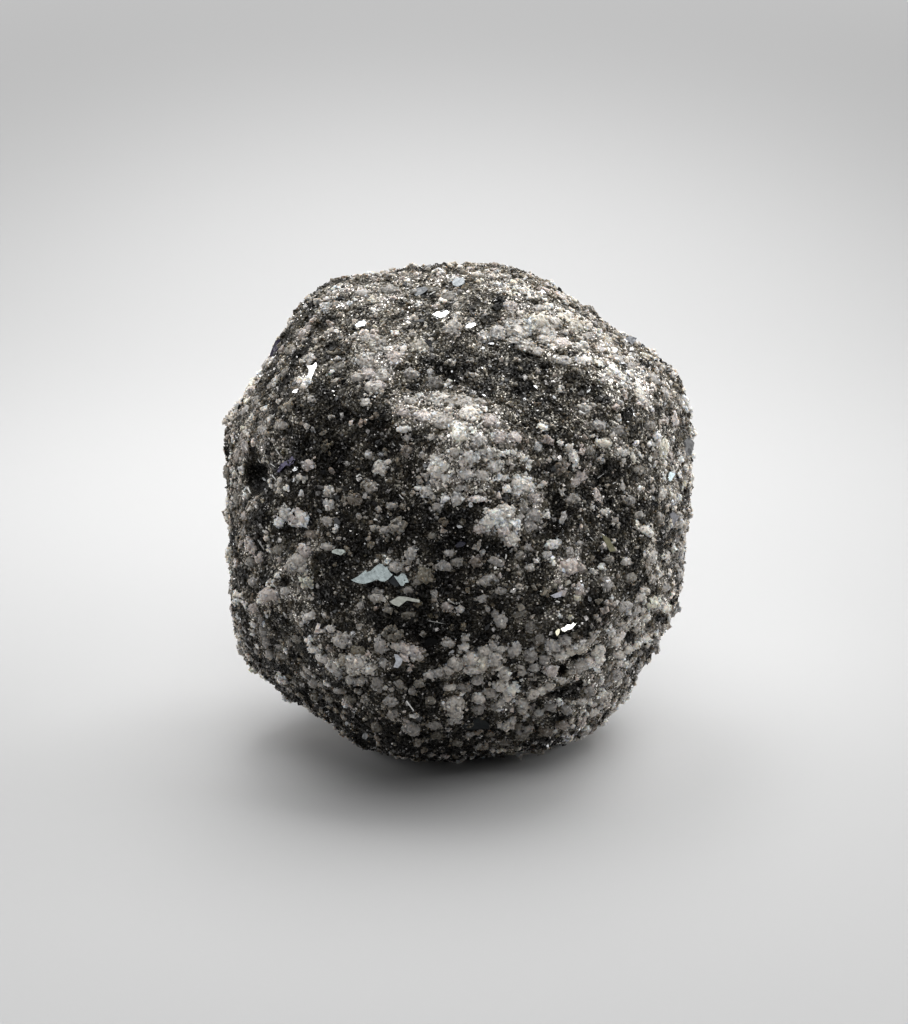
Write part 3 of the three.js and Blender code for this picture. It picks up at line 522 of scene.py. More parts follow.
def ellipse(px, py, cx, cy, rx, ry, turn):
    a = math.radians(turn)
    x = ((px - cx) * math.cos(a) + (py - cy) * math.sin(a)) / rx
    y = (-(px - cx) * math.sin(a) + (py - cy) * math.cos(a)) / ry
    return np.exp(-(x * x + y * y) ** 1.4)


def front_share(v):
    t = np.clip((3.0 - v[:, 1]) / 6.0, 0, 1)
    return t * t * (3 - 2 * t)


def paleness(w):
    """How pale the mass is painted at world points, its own tone with painted light and shade in it: 0 is average, +1
    very pale, -1 black.
    """
    v = to_view(w)
    front = front_share(v)
    px, py = pixels(v)
    drawn = np.zeros(len(w))
    for cx, cy, rx, ry, turn, much in PATCHES:
        drawn += much * ellipse(px, py, cx, cy, rx, ry, turn)
    drawn = 1.25 * np.clip(drawn, -1.1, 1.1)
    gap = np.zeros(len(w))
    for cx, cy, rx, ry, turn in GAPS:
        gap = np.maximum(gap, ellipse(px, py, cx, cy, rx, ry, turn))
    # painted shade: black in the crevices listed in GAPS
    drawn = drawn * (1 - gap) - 1.9 * gap
    free = 1.3 * noise(w, 9.0, 31) + 1.1 * noise(w, 4.2, 32) + 0.1
    fine = 1.1 * noise(w, 2.4, 33) + 0.9 * noise(w, 1.2, 34)
    return front * (drawn + 0.12 * free) + (1 - front) * free + fine


def top_light_weight(w):
    """1 near the top, 0 lower down: where it is 1, dark grains are painted paler, painted light on the lit top, and
    pale ones are painted darker against the stronger light there.
    """
    s = np.clip((to_view(w)[:, 2] - 6.0) / 16.0, 0, 1)
    return s * s * (3 - 2 * s)


def in_pit(w):
    v = to_view(w)
    px, py = pixels(v)
    d = np.zeros(len(w))
    for cx, cy, rx, ry, turn in PITS:
        d = np.maximum(d, ellipse(px, py, cx, cy, rx, ry, turn) * (v[:, 1] < 0))
    return d


HUES = np.array([
    (1.07, 1.00, 0.915), (1.06, 1.00, 0.93), (1.09, 0.98, 0.915), (1.12, 0.97, 0.90),
    (1.07, 1.00, 0.875), (1.06, 1.01, 0.85), (1.05, 1.00, 0.945), (1.01, 1.00, 0.98),
])
HUE_SHARE = np.array([0.34, 0.25, 0.12, 0.03, 0.07, 0.02, 0.14, 0.03])


def colours(level, rng, kind=None):
    if kind is None:
        kind = rng.choice(len(HUES), len(level), p=HUE_SHARE / HUE_SHARE.sum())
    dark = np.clip(1 - level / 0.25, 0.0, 1.0)[:, None]
    return np.clip(level[:, None] * HUES[kind] * np.array((1.08, 1.0, 0.76)) ** dark, 0.001, 0.88)


# ------------------------------------------------------------------ writing meshes
def write_mesh(name, co, faces, tint, metal, uv=None, flat=None):
    """A mesh object from world points in mm and triangles or quads, with a tint and metal value per point."""
    me = bpy.data.meshes.new(name)
    sides = faces.shape[1]
    me.vertices.add(len(co))
    me.vertices.foreach_set("co", (co * 0.001).astype(np.float32).ravel())
    me.loops.add(faces.size)
    me.loops.foreach_set("vertex_index", faces.astype(np.int32).ravel())
    me.polygons.add(len(faces))
    me.polygons.foreach_set("loop_start", np.arange(0, faces.size, sides, dtype=np.int32))
    me.polygons.foreach_set("loop_total", np.full(len(faces), sides, np.int32))
    if flat is None:
        flat = np.ones(len(faces), bool)
    me.polygons.foreach_set("use_smooth", ~flat)
    rgba = np.ones((len(co), 4), np.float32)
    rgba[:, :3] = tint
    me.attributes.new("tint", "FLOAT_COLOR", "POINT").data.foreach_set("color", rgba.ravel())
    me.attributes.new("metal", "FLOAT", "POINT").data.foreach_set("value", metal.astype(np.float32))
    if uv is not None:
        me.uv_layers.new(name="OFBake").data.foreach_set("uv", uv.astype(np.float32).ravel())
    me.update(calc_edges=True)
    me.validate()
    piece = bpy.data.objects.new(name, me)
    bpy.context.scene.collection.objects.link(piece)
    return piece


# ------------------------------------------------------------------ materials
def material(name, cell, tilt, specks, speck_level, mottle, rough, bump, specular, subsurface=0.0):
    m = bpy.data.materials.new(name)
    m.use_nodes = True
    nt = m.node_tree
    nt.nodes.clear()
    link = nt.links.new

    def node(kind, **sets):
        n = nt.nodes.new(kind)
        for k, v in sets.items():
            setattr(n, k, v)
        return n

    out = node("ShaderNodeOutputMaterial")
    bsdf = node("ShaderNodeBsdfPrincipled")
    link(bsdf.outputs[0], out.inputs[0])
    coord = node("ShaderNodeTexCoord")
    mm = node("ShaderNodeVectorMath", operation="SCALE")
    mm.inputs["Scale"].default_value = 1000.0
    link(coord.outputs["Object"], mm.inputs[0])
    vor = node("ShaderNodeTexVoronoi")
    vor.inputs["Scale"].default_value = 1.0 / cell
    link(mm.outputs[0], vor.inputs["Vector"])
    sep = node("ShaderNodeSeparateColor")
    link(vor.outputs["Color"], sep.inputs[0])
    tint = node("ShaderNodeAttribute", attribute_name="tint")
    metal = node("ShaderNodeAttribute", attribute_name="metal")
    tex = node("ShaderNodeTexNoise")
    tex.inputs["Scale"].default_value = 1.0 / 0.42
    tex.inputs["Detail"].default_value = 3.0
    tex.inputs["Roughness"].default_value = 0.65
    link(mm.outputs[0], tex.inputs["Vector"])
    # cloudy light and dark in the grain
    mott = node("ShaderNodeMapRange")
    mott.inputs["From Min"].default_value, mott.inputs["From Max"].default_value = 0.32, 0.68
    mott.inputs["To Min"].default_value, mott.inputs["To Max"].default_value = 1 - mottle, 1 + mottle
    link(tex.outputs[0], mott.inputs["Value"])
    cloudy = node("ShaderNodeVectorMath", operation="SCALE")
    link(tint.outputs["Color"], cloudy.inputs[0])
    link(mott.outputs[0], cloudy.inputs["Scale"])
    # a share of the tiny crystals in it is of the other kind
    pick = node("ShaderNodeMath", operation="LESS_THAN")
    pick.inputs[1].default_value = specks
    link(sep.outputs[0], pick.inputs[0])
    steep = node("ShaderNodeMath", operation="POWER")
    link(sep.outputs[1], steep.inputs[0])
    steep.inputs[1].default_value = 3.5
    level = node("ShaderNodeMapRange")
    level.inputs["To Min"].default_value, level.inputs["To Max"].default_value = speck_level
    link(steep.outputs[0], level.inputs["Value"])
    other = node("ShaderNodeVectorMath", operation="SCALE")
    link(cloudy.outputs[0], other.inputs[0])
    link(level.outputs[0], other.inputs["Scale"])
    mix = node("ShaderNodeMix", data_type="RGBA")
    link(pick.outputs[0], mix.inputs["Factor"])
    link(cloudy.outputs[0], mix.inputs["A"])
    paler = node("ShaderNodeHueSaturation")
    paler.inputs["Saturation"].default_value = 0.55 if speck_level[1] > 1 else 1.0
    link(other.outputs[0], paler.inputs["Color"])
    link(paler.outputs[0], mix.inputs["B"])
    link(mix.outputs["Result"], bsdf.inputs["Base Color"])
    link(metal.outputs["Fac"], bsdf.inputs["Metallic"])
    gloss = node("ShaderNodeMapRange")
    gloss.inputs["To Min"].default_value, gloss.inputs["To Max"].default_value = rough
    link(sep.outputs[2], gloss.inputs["Value"])
    link(gloss.outputs[0], bsdf.inputs["Roughness"])
    again = node("ShaderNodeMath", operation="MULTIPLY")
    link(sep.outputs[2], again.inputs[0])
    again.inputs[1].default_value = 37.3
    part = node("ShaderNodeMath", operation="FRACT")
    link(again.outputs[0], part.inputs[0])
    rare = node("ShaderNodeMath", operation="POWER")
    link(part.outputs[0], rare.inputs[0])
    rare.inputs[1].default_value = 5.0
    mirror = node("ShaderNodeMapRange")
    mirror.inputs["To Min"].default_value, mirror.inputs["To Max"].default_value = specular
    link(rare.outputs[0], mirror.inputs["Value"])
    link(mirror.outputs[0], bsdf.inputs["Specular IOR Level"])
    # each tiny crystal has a face of its own
    geo = node("ShaderNodeNewGeometry")
    centred = node("ShaderNodeVectorMath", operation="SUBTRACT")
    link(vor.outputs["Color"], centred.inputs[0])
    centred.inputs[1].default_value = (0.5, 0.5, 0.5)
    turned = node("ShaderNodeVectorMath", operation="SCALE")
    link(centred.outputs[0], turned.inputs[0])
    turned.inputs["Scale"].default_value = tilt
    added = node("ShaderNodeVectorMath", operation="ADD")
    link(geo.outputs["Normal"], added.inputs[0])
    link(turned.outputs[0], added.inputs[1])
    normal = node("ShaderNodeVectorMath", operation="NORMALIZE")
    link(added.outputs[0], normal.inputs[0])
    bumped = node("ShaderNodeBump")
    bumped.inputs["Strength"].default_value = bump
    bumped.inputs["Distance"].default_value = 0.0002
    link(tex.outputs[0], bumped.inputs["Height"])
    link(normal.outputs[0], bumped.inputs["Normal"])
    link(bumped.outputs[0], bsdf.inputs["Normal"])
    if subsurface:
        bsdf.inputs["Subsurface Weight"].default_value = subsurface
        bsdf.inputs["Subsurface Radius"].default_value = (1.0, 0.8, 0.6)
        bsdf.inputs["Subsurface Scale"].default_value = 0.00045
    return m


MATRIX = material("hematite_matrix", 0.19, 1.0, 0.50, (0.15, 14.0), 0.7, (0.25, 0.7), 0.6, (0.02, 1.6))
GRAINS = material("quartz_and_hematite_grains", 0.26, 0.70, 0.07, (0.45, 0.9), 0.30, (0.15, 0.65), 0.7, (0.12, 1.4), 0.75)
DUST = material("fine_crystals", 0.14, 0.8, 0.30, (0.3, 3.0), 0.4, (0.12, 0.6), 0.4, (0.05, 1.8))
PLATES = material("hematite_plates", 0.5, 0.16, 0.0, (1.0, 1.0), 0.25, (0.10, 0.28), 0.2, (0.5, 0.5))


def finish_piece(piece, mat):
    piece.data.materials.append(mat)
    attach(piece, "root")
    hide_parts("hematite_mass")
    return piece


# ------------------------------------------------------------------ the body of the mass
def cube_sphere(n):
    """Directions, quads and a six-chart bake map of a sphere made of six n x n grids."""
    a = np.tan(np.linspace(-math.pi / 4, math.pi / 4, n + 1))
    g, h = np.meshgrid(a, a, indexing="ij")
    one = np.ones_like(g)
    sides = [(one, g, h), (-one, -g, h), (-g, one, h), (g, -one, h), (-h, g, one), (h, g, -one)]
    pts = np.concatenate([np.stack([s.ravel() for s in side], 1) for side in sides])
    i, j = np.meshgrid(np.arange(n), np.arange(n), indexing="ij")
    base = (i * (n + 1) + j).ravel()
    quad = np.stack([base, base + n + 1, base + n + 2, base + 1], 1)
    quads = np.concatenate([quad + k * (n + 1) ** 2 for k in range(6)])
    uv = np.concatenate([
        np.stack([np.stack([(i + di) / n, (j + dj) / n], -1).reshape(-1, 2)
                  for di, dj in ((0, 0), (1, 0), (1, 1), (0, 1))], 1)
        * (1 / 3 - 0.01, 0.5 - 0.01) + (k % 3 / 3 + 0.005, k // 3 / 2 + 0.005)
        for k in range(6)])
    keys, first, back = np.unique(np.round(pts * 1e6).astype(np.int64), axis=0,
                                  return_index=True, return_inverse=True)
    return unit(pts[first]), back.reshape(-1)[quads], uv


BODY_GRID = 124
dirs, quads, body_uv = cube_sphere(BODY_GRID)
points, on_foot = surface(dirs)
# every face must look outwards
a, b, c = points[quads[:, 0]], points[quads[:, 1]], points[quads[:, 2]]
inward = ((np.cross(b - a, c - a)) * (a - np.array([0, 0, CENTRE_HEIGHT]))).sum(1) < 0
quads[inward] = quads[inward][:, ::-1]
body_uv[inward] = body_uv[inward][:, ::-1]

rng = np.random.default_rng(SEED)
pale = paleness(points)
level = 0.022 * np.exp(1.50 * np.clip(pale, -2.0, 1.8) + 0.35 * rng.standard_normal(len(points)))
# painted light: the dark body painted paler towards the top
level *= np.exp(0.45 * top_light_weight(points) * np.clip(1.2 + pale, 0, 1))
# painted shade: the body nearly black in the pits
level *= 1 - 0.97 * np.clip(1.3 * in_pit(points), 0, 1)
tint = colours(np.clip(level, 0.0015, 0.4), rng)
body = write_mesh("hematite_body", points, quads, tint, np.maximum(0.5 * np.clip((0.035 - level) / 0.02, 0, 1), in_pit(points) > 0.2),
                  uv=body_uv, flat=np.zeros(len(quads), bool))
finish_piece(body, MATRIX)

# ------------------------------------------------------------------ where the grains sit
def scatter(wanted, radius_of, spacing, grids, rng):
    """Throws grains on the surface; each keeps its distance from those already there."""
    z = 2 * rng.random(wanted) - 1
    t = 2 * math.pi * rng.random(wanted)
    q = np.sqrt(1 - z * z)
    u = np.stack([q * np.cos(t), q * np.sin(t), z], 1)
    w, foot = surface(u)
    pale = paleness(w)
    r = radius_of(pale, rng)
    keep = (r > 0) & ~foot & (in_pit(w) < 0.35)
    u, w, r, pale = u[keep], w[keep], r[keep], pale[keep]
    mine = {}
    cell = 2.2 * r.max()
    grids = grids + [(mine, cell)]
    chosen = []
    wl, rl = w.tolist(), r.tolist()
    for k in range(len(rl)):
        x, y, zz = wl[k]
        rk = rl[k]
        clear = True
        for grid, size in grids:
            i, j, l = int(x // size), int(y // size), int(zz // size)
            for a in (i - 1, i, i + 1):
                for b in (j - 1, j, j + 1):
                    for c in (l - 1, l, l + 1):
                        for X, Y, Z, R in grid.get((a, b, c), ()):
                            d = spacing * (R + rk)
                            if (X - x) ** 2 + (Y - y) ** 2 + (Z - zz) ** 2 < d * d:
                                clear = False
                                break
                        if not clear:
                            break
                    if not clear:
                        break
                if not clear:
                    break
            if not clear:
                break
        if clear:
            mine.setdefault((int(x // cell), int(y // cell), int(zz // cell)), []).append((x, y, zz, rk))
            chosen.append(k)
    chosen = np.array(chosen)
    return u[chosen], w[chosen], r[chosen], pale[chosen], (mine, cell)


# ------------------------------------------------------------------ grain shapes
phi = (1 + 5 ** 0.5) / 2
ICO = unit(np.array([(-1, phi, 0), (1, phi, 0), (-1, -phi, 0), (1, -phi, 0), (0, -1, phi), (0, 1, phi),
                     (0, -1, -phi), (0, 1, -phi), (phi, 0, -1), (phi, 0, 1), (-phi, 0, -1), (-phi, 0, 1)], float))
ICO_FACES = np.array([(0, 11, 5), (0, 5, 1), (0, 1, 7), (0, 7, 10), (0, 10, 11), (1, 5, 9), (5, 11, 4),
                      (11, 10, 2), (10, 7, 6), (7, 1, 8), (3, 9, 4), (3, 4, 2), (3, 2, 6), (3, 6, 8),
                      (3, 8, 9), (4, 9, 5), (2, 4, 11), (6, 2, 10), (8, 6, 7), (9, 8, 1)])
OCT = np.array([(0, 0, 1), (1, 0, 0), (0, 1, 0), (-1, 0, 0), (0, -1, 0), (0, 0, -1)], float)
OCT_FACES = np.array([(0, 1, 2), (0, 2, 3), (0, 3, 4), (0, 4, 1), (5, 2, 1), (5, 3, 2), (5, 4, 3), (5, 1, 4)])


BLOCK = unit(np.array([(-1, -1, -1), (1, -1, -1), (1, 1, -1), (-1, 1, -1),
                       (-1, -1, 1), (1, -1, 1), (1, 1, 1), (-1, 1, 1)], float))
BLOCK_SIDES = [(4, 5, 6, 7), (3, 2, 1, 0), (0, 1, 5, 4), (1, 2, 6, 5), (2, 3, 7, 6), (3, 0, 4, 7)]
BLOCK_FACES = np.array([t for a, b, c, d in BLOCK_SIDES for t in ((a, b, c), (a, c, d))])


def random_turns(n, rng):
    q = unit(rng.standard_normal((n, 4)))
    w, x, y, z = q.T
    return np.stack([
        np.stack([1 - 2 * (y * y + z * z), 2 * (x * y - z * w), 2 * (x * z + y * w)], 1),
        np.stack([2 * (x * y + z * w), 1 - 2 * (x * x + z * z), 2 * (y * z - x * w)], 1),
        np.stack([2 * (x * z - y * w), 2 * (y * z + x * w), 1 - 2 * (x * x + y * y)], 1)], 1)


def grain_meshes(form, form_faces, centres, normals, radii, rng, rough=0.16, stretch=0.3, flatten=0.85):
    """Every grain's points: a perturbed, stretched and freely turned solid, a little flattened on the mass."""
    n, m = len(centres), len(form)
    shape = form[None] * (1 + rough * rng.uniform(-1, 1, (n, m, 1)))
    shape = shape + rough * 0.5 * rng.uniform(-1, 1, (n, m, 3))
    shape = shape * np.exp(stretch * rng.uniform(-1, 1, (n, 1, 3)))
    shape = np.einsum("nij,nmj->nmi", random_turns(n, rng), shape)
    along = np.einsum("nmi,ni->nm", shape, normals)
    shape = shape - ((1 - flatten) * along)[..., None] * normals[:, None, :]
    co = centres[:, None, :] + shape * radii[:, None, None]
    low = co[..., 2].min(1)
    lift = np.maximum(0, 0.02 - low)
    co[..., 2] = np.maximum(co[..., 2], 0.02)
    faces = form_faces[None] + (np.arange(n) * m)[:, None, None]
    return co.reshape(-1, 3), faces.reshape(-1, 3)


def cell_uv(n, form, form_faces):
    """A bake map with one small square for each grain."""
    side = int(math.ceil(math.sqrt(n)))
    k = np.arange(n)
    origin = np.stack([k % side, k // side], 1) / side
    if len(form) == 8:
        tri = []
        for q in range(6):
            x, y = q % 3 / 3 + 0.04, q // 3 / 2 + 0.05
            w, h = 1 / 3 - 0.08, 0.5 - 0.10
            tri += [[(x, y), (x + w, y), (x + w, y + h)], [(x, y), (x + w, y + h), (x, y + h)]]
        return (origin[:, None, None, :] + np.array(tri)[None] / side).reshape(-1, 2)
    ang = np.arctan2(form[:, 1], form[:, 0])
    rad = np.arccos(np.clip(form[:, 2], -1, 1)) / math.pi
    corner_a = ang[form_faces].copy()
    corner_r = rad[form_faces].copy()
    for f in range(len(form_faces)):
        poles = [k for k in range(3) if rad[form_faces[f][k]] < 0.01 or rad[form_faces[f][k]] > 0.99]
        others = [k for k in range(3) if k not in poles]
        for k in poles:
            x = sum(math.cos(corner_a[f][o]) for o in others)
            y = sum(math.sin(corner_a[f][o]) for o in others)
            corner_a[f][k] = math.atan2(y, x)
    tri = np.stack([0.5 + 0.42 * corner_r * np.cos(corner_a), 0.5 + 0.42 * corner_r * np.sin(corner_a)], -1)
    return (origin[:, None, None, :] + tri[None] / side).reshape(-1, 2)


def levels(pale, rng, middle, push, spread):
    return np.clip(middle * np.exp(push * np.clip(pale, -2.0, 1.6)
                                   + spread * rng.standard_normal(len(pale))), 0.006, 0.80)


def make_grains(name, form, form_faces, u, w, r, level, metal, mat, rng, limit, out=0.25, smooth=0.5,
                kind=None, **shape):
    """Meshes of at most limit triangles each."""
    n = smooth_normal(u)
    tint = colours(level, rng, kind)
    shiny = metal > 0.995
    tint[shiny] = np.array((0.26, 0.252, 0.245)) * rng.uniform(0.1, 1.7, (shiny.sum(), 1)) ** 1.7
    parts = max(1, math.ceil(len(u) * len(form_faces) / limit))
    order = rng.permutation(len(u))
    for k in range(parts):
        s = order[k::parts]
        co, faces = grain_meshes(form, form_faces, w[s] + n[s] * (out * r[s])[:, None], n[s], r[s], rng, **shape)
        m, per = len(form), len(form_faces)
        flat = np.repeat((rng.random(len(s)) > smooth) | shiny[s], per)
        shade = 1 + 0.25 * rng.uniform(-1, 1, (len(co), 1))
        piece = write_mesh(f"{name}_{k + 1}", co, faces, np.clip(np.repeat(tint[s], m, 0) * shade, 0, 0.85),
                           np.repeat(metal[s], m), uv=cell_uv(len(s), form, form_faces), flat=flat)
        finish_piece(piece, mat)


# the knobs seen one by one: a low dome each, with grains on it
rng = np.random.default_rng(SEED + 5)
knob = np.array(KNOBS)
ku = direction_of(knob[:, 0], knob[:, 1])
kw, _ = surface(ku)
kn = smooth_normal(ku)
RIGHT = np.array([[1.0, 0.0, 0.0]])
UPWARD = np.array([[0.0, math.sin(TILT), math.cos(TILT)]])


TO_EYE = np.array([[0.0, -math.cos(TILT), math.sin(TILT)]])


def lay(n, offset):
    """An offset across the line of sight, laid on surfaces of normal n so that it looks the same
    from the camera. Where the surface is very steep to the line of sight it is cut shorter."""
    facing = (n @ TO_EYE.T)
    away = n - facing * TO_EYE + 1e-6 * RIGHT
    away = unit(away)
    deep = unit(away - (away * n).sum(1, keepdims=True) * n)
    across = np.cross(n, deep)
    return ((offset * across).sum(1, keepdims=True) * across
            + (offset * away).sum(1, keepdims=True) / np.maximum(np.abs(facing), 0.60) * deep)


turn = np.radians(knob[:, 4:5])


def on_knob(a, b, which):
    """World offset of the point (a, b) of a knob's unit circle."""
    rx, ry, t = knob[which, 2:3], knob[which, 3:4], turn[which]
    x = a * rx * np.cos(t) - b * ry * np.sin(t)
    y = a * rx * np.sin(t) + b * ry * np.cos(t)
    return lay(kn[which], UNIT * (x * RIGHT - y * UPWARD))


def finer(form, faces):
    """Each triangle cut in four, on the sphere."""
    mids, new = {}, []
    pts = [tuple(p) for p in form]

    def middle(i, j):
        key = (min(i, j), max(i, j))
        if key not in mids:
            m = np.array(pts[i]) + np.array(pts[j])
            mids[key] = len(pts)
            pts.append(tuple(m / np.linalg.norm(m)))
        return mids[key]

    for a, b, c in faces.tolist():
        ab, bc, ca = middle(a, b), middle(b, c), middle(c, a)
        new += [(a, ab, ca), (b, bc, ab), (c, ca, bc), (ab, bc, ca)]
    return np.array(pts), np.array(new)


BALL, BALL_FACES = finer(ICO, ICO_FACES)
K = len(knob)
small = np.minimum(knob[:, 2], knob[:, 3]) * UNIT
each_ball = np.repeat(np.arange(K), len(BALL))
lower = np.clip((knob[:, 1] - 480) / 120, 0, 1)
tall = (0.34 + 0.34 * lower * lower * (3 - 2 * lower)) * rng.uniform(0.75, 1.35, K)
tall *= np.where(knob[:, 5] >= 0.8, 1.7, 1.0)
bump_out = 1 + 0.26 * rng.uniform(-1, 1, (len(each_ball), 1))
local = np.tile(BALL, (K, 1)) * bump_out
co = (kw[each_ball] + 0.88 * on_knob(local[:, 0:1], local[:, 1:2], each_ball)
      + kn[each_ball] * (local[:, 2:3] * (tall[each_ball] * small[each_ball] + 0.08)[:, None]))
co[:, 2] = np.maximum(co[:, 2], 0.02)
co_faces = (BALL_FACES[None] + (np.arange(K) * len(BALL))[:, None, None]).reshape(-1, 3)
first = co[co_faces[::80][:, 0]]
a, b, c = co[co_faces[:, 0]], co[co_faces[:, 1]], co[co_faces[:, 2]]
middle_of = np.repeat(kw, 80, 0)
inside_out = (np.cross(b - a, c - a) * ((a + b + c) / 3 - middle_of)).sum(1).reshape(K, 80).sum(1) < 0
flip = np.repeat(inside_out, 80)
co_faces[flip] = co_faces[flip][:, ::-1]
# painted shade: the knobs painted darker towards the top, against the stronger light there
knob_level = np.clip(1.65 * knob[:, 5] ** 1.35 * np.exp(0.10 * rng.standard_normal(K) - 0.17 * top_light_weight(kw)), 0.02, 0.80)
knob_kind = knob[:, 6].astype(int)
dome_tint = colours(knob_level[each_ball] * (1 + 0.22 * rng.uniform(-1, 1, len(each_ball))), rng, knob_kind[each_ball])
domes = write_mesh("pale_knobs", co, co_faces, dome_tint * 0.85, np.zeros(len(co)),
                   uv=cell_uv(K, BALL, BALL_FACES), flat=np.zeros(len(co_faces), bool))
finish_piece(domes, GRAINS)
how_many = np.clip(knob[:, 2] * knob[:, 3] / 3.4, 3, 34).astype(int)
kwho = np.repeat(np.arange(K), how_many)
ang = 2 * math.pi * rng.random((len(kwho), 1))
rad = np.sqrt(rng.random((len(kwho), 1)))
kgw = (kw[kwho] + 0.95 * on_knob(np.cos(ang) * rad, np.sin(ang) * rad, kwho)
       + kn[kwho] * ((0.95 * tall[kwho] * small[kwho] + 0.05)[:, None] * (1 - rad ** 2) * rng.uniform(0.6, 1.1, (len(kwho), 1))))
kgl_out = in_pit(kgw) > 0.45
kgr = np.clip(0.32 * small[kwho], 0.12, 0.38) * rng.uniform(0.55, 1.3, len(kwho))
kgl = np.clip(knob_level[kwho] * np.exp(0.28 * rng.standard_normal(len(kwho))), 0.02, 0.85)
kgl = np.where(rng.random(len(kwho)) < 0.06, 0.45 * kgl, kgl)
ok = ~kgl_out
make_grains("knob_grain", BLOCK, BLOCK_FACES, ku[kwho][ok], kgw[ok], kgr[ok], kgl[ok], np.zeros(ok.sum()), GRAINS,
            rng, 190000, out=0.0, smooth=0.55, kind=knob_kind[kwho][ok], rough=0.28, stretch=0.35)
# loose grains round its edge
how_many = np.clip((knob[:, 2] + knob[:, 3]) * 0.9, 3, 26).astype(int)
lwho = np.repeat(np.arange(K), how_many)
ang = 2 * math.pi * rng.random((len(lwho), 1))
rad = 0.85 + 0.65 * rng.random((len(lwho), 1)) ** 1.5
lgw = kw[lwho] + on_knob(np.cos(ang) * rad, np.sin(ang) * rad, lwho) + 0.02 * kn[lwho]
lgr = rng.uniform(0.09, 0.24, len(lwho))
lgl = np.clip(knob_level[lwho] * rng.uniform(0.12, 1.0, len(lwho)) ** 1.3, 0.008, 0.85)
ok = in_pit(lgw) < 0.35
make_grains("loose_grain", BLOCK, BLOCK_FACES, ku[lwho][ok], lgw[ok], lgr[ok], lgl[ok], np.zeros(ok.sum()), GRAINS,
            rng, 190000, out=0.2, smooth=0.2, kind=knob_kind[lwho][ok], rough=0.3, stretch=0.45)
knob_size = 2.2 * small.max()
knob_places = {}
for (x, y, z), r in zip(kw.tolist(), (0.8 * small).tolist()):
    knob_places.setdefault((int(x // knob_size), int(y // knob_size), int(z // knob_size)), []).append((x, y, z, r))
knob_grid = (knob_places, knob_size)

# pale grains grow in knobbly clusters
rng = np.random.default_rng(SEED + 1)


def cluster_radius(pale, rng):
    r = 0.40 + 1.05 * rng.random(len(pale)) ** 1.5
    chance = np.clip(0.16 + 0.60 * (pale - 0.1), 0.12, 0.9)
    return np.where(rng.random(len(pale)) < chance, r, 0)


cu, cw, cr, cp, cluster_grid = scatter(9000, cluster_radius, 0.92, [knob_grid], rng)
drawn_side = rng.random(len(cu)) < 0.75 * front_share(to_view(cw))
cr = np.where(drawn_side, np.minimum(cr, 0.62), cr)
cn = smooth_normal(cu)
ct, cb = tangents(cn)
each = np.clip((cr / 0.42) ** 2 * 2.2, 3, 18).astype(int)
who = np.repeat(np.arange(len(cu)), each)
ang = 2 * math.pi * rng.random(len(who))
rad = np.sqrt(rng.random(len(who)))
R = cr[who]
lift = (0.50 * R * (1 - rad ** 2) + 0.05) * rng.uniform(0.3, 1.0, len(who))
gw = (cw[who] + (ct[who] * (np.cos(ang) * rad * R * 0.8)[:, None])
      + (cb[who] * (np.sin(ang) * rad * R * 0.8)[:, None]) + cn[who] * lift[:, None])
gr = rng.uniform(0.26, 0.52, len(who)) * (0.65 + 0.35 * R)
# painted shade: the clusters painted darker towards the top, against the stronger light there
cluster_level = levels(cp, rng, 0.40, 0.75, 0.35) * np.exp(-0.25 * top_light_weight(cw))
cluster_kind = rng.choice(len(HUES), len(cu), p=HUE_SHARE / HUE_SHARE.sum())
gl = np.clip(cluster_level[who] * np.exp(0.18 * rng.standard_normal(len(who))), 0.03, 0.85)
print("clusters", len(cu), "grains in them", len(who))
make_grains("quartz_cluster", BLOCK, BLOCK_FACES, cu[who], gw, gr, gl, np.zeros(len(who)), GRAINS, rng, 190000,
            out=0.0, smooth=0.5, kind=cluster_kind[who], rough=0.30, stretch=0.35)

# single grains of every tone between them
rng = np.random.default_rng(SEED + 2)


def single_radius(pale, rng):
    r = 0.13 + 0.36 * rng.random(len(pale)) ** 2.2
    return np.where(rng.random(len(pale)) < np.clip(0.55 + 0.30 * pale, 0.30, 1), r, 0)


su, sw, sr, sp, single_grid = scatter(42000, single_radius, 0.74, [cluster_grid, knob_grid], rng)
pick = rng.random(len(su))
clump = np.clip(1 + 1.2 * noise(sw, 1.7, 43), 0.25, 2.2)
# painted light and shade: towards the top the pale grains are painted darker and the dark ones paler
painted_top_light = top_light_weight(sw) * np.clip(1.0 + sp, 0, 1)
sl = np.where(pick < np.clip(0.30 + 0.32 * sp, 0.11, 0.92) * clump,
              np.minimum(levels(sp, rng, 0.215, 0.50, 0.48) * np.exp(-0.55 * painted_top_light), 0.55),
              levels(sp, rng, 0.021, 1.5, 0.60) * np.exp(0.65 * painted_top_light))
sm = np.where(sl < 0.05, np.where(rng.random(len(sl)) < 0.22, 1.0, 0.5), 0.0)
print("single grains", len(su))
make_grains("mixed_grain", BLOCK, BLOCK_FACES, su, sw, sr, sl, sm, GRAINS, rng, 190000, out=0.2, smooth=0.3,
            rough=0.30, stretch=0.40)

# fine crystals in the gaps
rng = np.random.default_rng(SEED + 3)


def fine_radius(pale, rng):
    return np.where(rng.random(len(pale)) < 0.80, rng.uniform(0.065, 0.18, len(pale)), 0)


fu, fw, fr, fp, fine_grid = scatter(90000, fine_radius, 0.72, [single_grid], rng)
clump = np.clip(1 + 1.7 * noise(fw, 1.1, 41), 0.12, 2.6)
